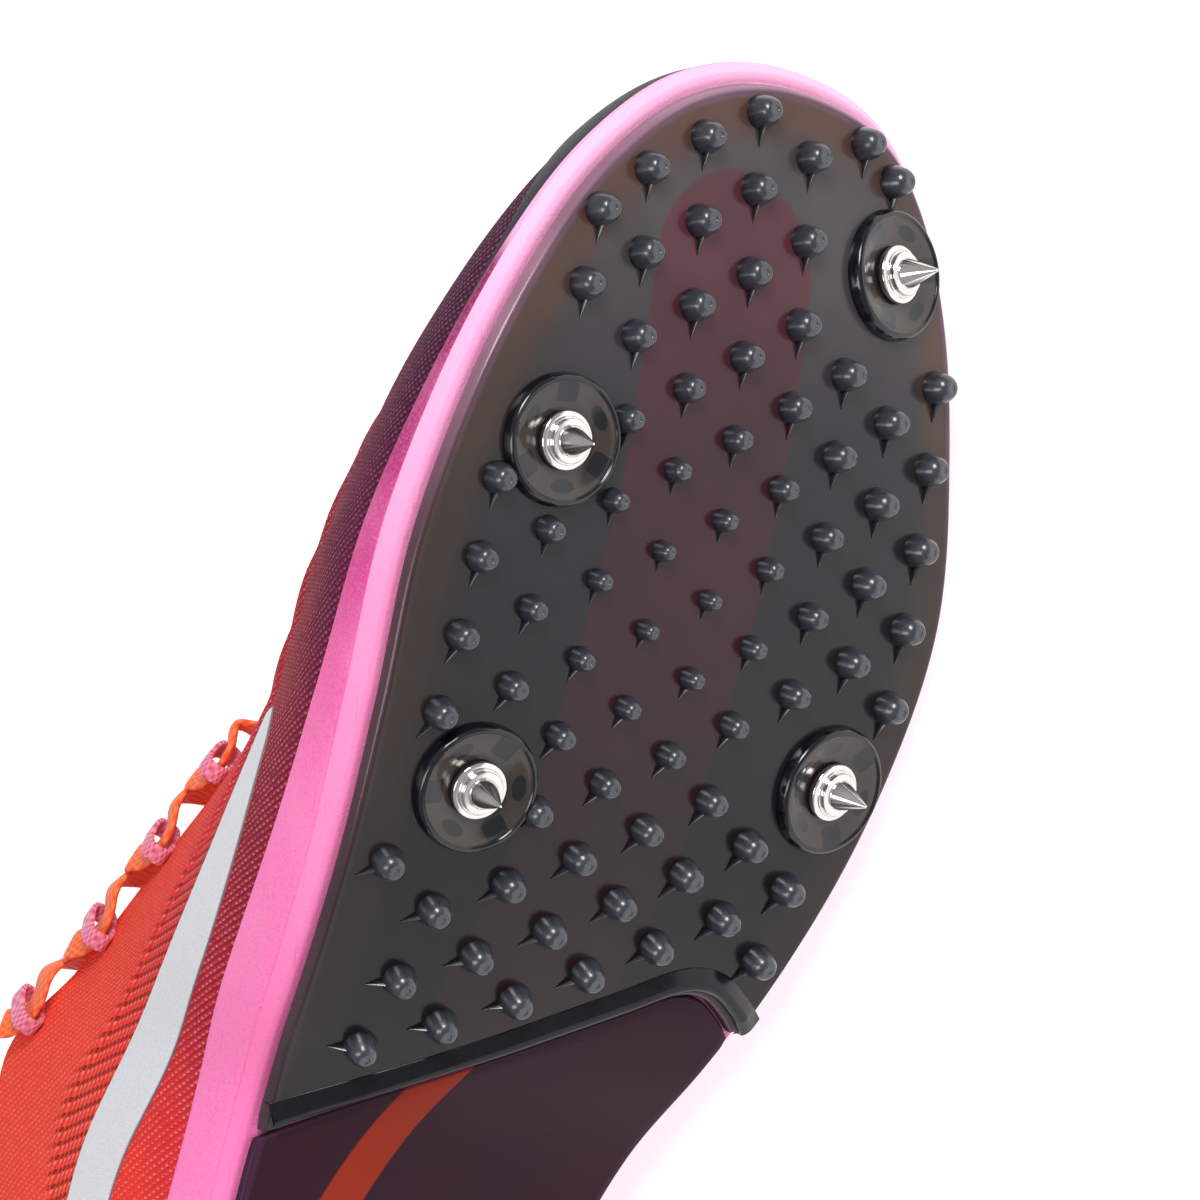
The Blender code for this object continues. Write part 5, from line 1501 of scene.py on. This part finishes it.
def make_tongue(cloth, trim):
    """A padded flap with a rounded, bound edge and two soft channels along it."""
    skin = Skin("padded_tongue")
    columns = 33
    depth = UPPER_WALL + TONGUE_CLEARANCE
    outer = tongue_sheet(depth, columns, 56)
    inner = tongue_sheet(depth + TONGUE_THICKNESS, columns, 56)
    across = np.linspace(-1, 1, columns)
    rows = len(outer)
    ends = np.minimum(np.arange(rows), np.arange(rows)[::-1]) / 3.0
    side = 1 - np.abs(across) ** 10
    full = np.sqrt(np.clip(side, 0, 1))[None] * np.clip(ends, 0.15, 1)[:, None] ** 0.5
    channels = CHANNEL_DEPTH * np.exp(-((np.abs(across) - CHANNEL_PLACE) / CHANNEL_HALF) ** 2)
    channels = channels[None] * np.clip(ends / 4, 0, 1)[:, None]
    middle = (outer + inner) / 2
    outer = middle + (outer - middle) * (full * (1 - channels) * 0.92 + 0.06)[..., None]
    inner = middle + (inner - middle) * (full * 0.92 + 0.06)[..., None]
    chart = joined(arcs(outer, 1), arcs(outer, 0))
    skin.add(outer, chart, 0)
    skin.add(inner, chart, 0)
    skin.add(np.stack([rim_of(inner), rim_of(outer)]), None, 1)
    piece = skin.build([cloth, trim], "tongue", ["tongue"], 70)


# Lacing

# Stations of the front and the top loop, and the share up the ribs where all of them stand
LOOP_STATIONS = (10.55, 7.45)
LOOP_SHARE = 0.97


def loop_seats():
    """For each loop, from front to top, on the medial and lateral edge: the middle of the lace, the
    way along the edge, the way across the lace, and the way up off the upper."""
    seats = []
    for position in np.linspace(*LOOP_STATIONS, LOOP_COUNT):
        pair = []
        for where, sign in ((position, 1.0), (ROUND - position, -1.0)):
            edge = upper_form(np.array(where), LOOP_SHARE)
            ahead = upper_form(np.array(where - 0.1 * sign), LOOP_SHARE)
            up = upper_normal(np.array(where), LOOP_SHARE)
            run = unit(ahead - edge)
            across = unit(np.cross(up, run))
            lift = 1.5 * GAP + LOOP_SWELL * (LACE_THICKNESS / 2 + LOOP_CLEARANCE) + LOOP_THICKNESS
            pair.append((edge + up * lift, run, across, up))
        seats.append(pair)
    return seats


def make_lace_loop(name, seat, finish):
    """A webbing loop round the lace: a flat oval ring as wide as the webbing, with soft edges."""
    middle, run, across, up = seat
    half = LOOP_SWELL * (LACE_WIDTH / 2 + LOOP_CLEARANCE)
    rise = LOOP_SWELL * (LACE_THICKNESS / 2 + LOOP_CLEARANCE)
    angle = np.linspace(0, 2 * math.pi, 49)
    section = eased_profile((
        (0.5, -0.5, 0), (0.5, 0.0, 0), (0.5, 0.5, 0.25), (0.0, 0.5, 0), (-0.5, 0.5, 0.25), (-0.5, 0.0, 0),
        (-0.5, -0.5, 0.25), (0.0, -0.5, 0), (0.5, -0.5, 0)), 4)
    extra = (section[:, 1] + 0.5) * LOOP_THICKNESS
    flat = pushed(np.cos(angle), 0.6) * (half + extra[:, None])
    high = pushed(np.sin(angle), 0.6) * (rise + extra[:, None])
    wide = section[:, :1] * LOOP_WIDTH
    grid = middle + across * flat[..., None] + up * high[..., None] + run * wide[..., None]
    chart = joined(angle * half, wide)
    Skin(name + "_webbing").add(grid, chart).build([finish], "lace_loop", [name], 60)


def lace_path(seats, first_side, lift, samples):
    """Middle line and up vectors of half of the lace: from the middle of the front bar through one
    loop of each pair, changing sides, over the throat each time."""
    stops = []
    front = (seats[0][0][0] + seats[0][1][0]) / 2
    forward = -(seats[0][0][1] + seats[0][1][1]) / 2
    start = seats[0][first_side]
    toward = unit(start[0] - front)
    up_middle = (seats[0][0][3] + seats[0][1][3]) / 2
    bar_start = front - toward * LACE_BAR_START + forward * LACE_BAR_FORWARD
    bar_end = start[0] * 0.72 + front * 0.28 + forward * LACE_BAR_END
    stops.append((bar_start + up_middle * (LACE_HUMP + lift), up_middle))
    stops.append((bar_end + up_middle * LACE_BAR_RISE, start[3]))
    for index, pair in enumerate(seats):
        side = (first_side + index) % 2
        middle, run, across, up = pair[side]
        inward = unit(pair[1 - side][0] - middle)
        for reach, turn, rise in ((-0.8, 0.4, 0.5), (-0.44, 0, 0), (0.44, 0, 0), (0.8, 0.4, 0.5)):
            stops.append((middle + LACE_STRAIGHT * (run * reach + inward * turn + up * rise), up))
        if index + 1 < len(seats):
            other = seats[index + 1][1 - side]
            up_here = unit(up + other[3])
            stops.append(((middle + other[0]) / 2 + up_here * (LACE_HUMP + lift), up_here))
    rows = np.array([(*at, *up) for at, up in stops])
    rows = smooth_path(rows, np.linspace(0, len(stops) - 1, samples))
    return rows[:, :3], rows[:, 3:]


def make_laces(seats, finish):
    """Two halves of a flat lace: a flattened oval section carried along each path, closed ends."""
    skin = Skin("flat_laces")
    angle = np.linspace(0, 2 * math.pi, 25)
    across = pushed(np.cos(angle), 0.7) * LACE_WIDTH / 2
    thick = pushed(np.sin(angle), 0.8) * LACE_THICKNESS / 2
    for side, lift in ((0, 0.0), (1, LACE_CROSSING)):
        path, ups = lace_path(seats, side, lift, 420)
        run = unit(np.gradient(path, axis=0))
        width = unit(np.cross(ups, run))
        ups = np.cross(run, width)
        grid = path[:, None] + width[:, None] * across[None, :, None] + ups[:, None] * thick[None, :, None]
        length = arcs(path, 0)
        length = np.concatenate([length[:1], length, length[-1:]])
        chart = joined(across[None], length[:, None])
        skin.add(capped(grid), chart)
    skin.build([finish], "laces", ["laces"], 70)


# Stage

CAMERA_PLACE = (0.47134, -1.15962, -1.39636)
CAMERA_RIGHT = (0.28198, 0.76835, -0.57457)
CAMERA_DOWN = (-0.94847, 0.13301, -0.28760)
CAMERA_LENS = 401.3
SENSOR_WIDTH = 36.0
FLOOR_HALF = 14.0
SKY_STRENGTH = 0.40
SOFTBOXES = (
    # name, place, size, power
    ("key_softbox", (1.0, -0.55, 1.25), (0.7, 0.5), 17.0),
    ("high_softbox", (-0.5, -0.25, 1.6), (1.0, 0.6), 9.0),
)


def make_camera():
    """The photograph's view: place and directions are on the standing shoe, then laid down."""
    right = Vector(TURN @ np.array(CAMERA_RIGHT)).normalized()
    down = Vector(TURN @ np.array(CAMERA_DOWN))
    ahead = right.cross(down).normalized()
    down = ahead.cross(right).normalized()
    camera = bpy.data.objects.new("camera", bpy.data.cameras.new("camera"))
    turn = Matrix((right, -down, -ahead)).transposed().to_4x4()
    camera.matrix_world = Matrix.Translation(TURN @ np.array(CAMERA_PLACE) + SHIFT) @ turn
    camera.data.sensor_width = SENSOR_WIDTH
    camera.data.lens = CAMERA_LENS
    camera.data.clip_end = 20.0
    scene.collection.objects.link(camera)
    scene.camera = camera


def softbox(name, place, size, power):
    """A large soft light that faces the shoe."""
    light = bpy.data.lights.new(name, "AREA")
    light.shape = "RECTANGLE"
    light.size, light.size_y = size
    light.energy = power
    lamp = bpy.data.objects.new(name, light)
    lamp.location = place
    lamp.rotation_mode = "QUATERNION"
    lamp.rotation_quaternion = (-Vector(place)).to_track_quat("-Z", "Y")
    lamp.visible_camera = False
    scene.collection.objects.link(lamp)


def make_stage():
    mesh = bpy.data.meshes.new("floor")
    corners = [(x * FLOOR_HALF, y * FLOOR_HALF, 0) for x, y in ((-1, -1), (1, -1), (1, 1), (-1, 1))]
    mesh.from_pydata(corners, [], [(0, 1, 2, 3)])
    floor = bpy.data.objects.new("floor", mesh)
    scene.collection.objects.link(floor)
    mesh.materials.append(pale_floor())
    world = bpy.data.worlds.new("studio")
    world.use_nodes = True
    sky = world.node_tree.nodes["Background"]
    sky.inputs["Color"].default_value = (1.0, 1.0, 1.0, 1.0)
    sky.inputs["Strength"].default_value = SKY_STRENGTH
    scene.world = world
    for box in SOFTBOXES:
        softbox(*box)
    scene.view_settings.view_transform = "Standard"


def main():
    make_camera()
    make_stage()
    make_plate([smoky_plate(), navy_bead()])
    make_bosses(boss_finish())
    make_spikes(polished_steel())
    make_rear_sheet(satin_sheet())
    make_foam(pink_foam())
    make_insole(woven("liner_cloth", "5a1626", "7c2434", 1.1, 1.1))
    make_upper(knit_upper(), lining())
    make_side_strip(reflective_tape())
    make_toe_guard(toe_guard_rubber())
    make_tongue(woven("tongue_knit", "d23a2a", "ff6a48", 0.9, 0.9, 0.0002),
                woven("tongue_binding", "b22a2a", "e04a38", 0.5, 0.8))
    seats = loop_seats()
    webbing = woven("loop_webbing", "d24a70", "f59ab4", 0.6, 0.9)
    for index, pair in enumerate(seats):
        for side, seat in zip(("medial", "lateral"), pair):
            make_lace_loop(f"lace_loop_{side}_{index + 1}", seat, webbing)
    make_laces(seats, woven("lace_weave", "f0521c", "ff7c3c", 0.55, 0.9, 0.0002))


main()
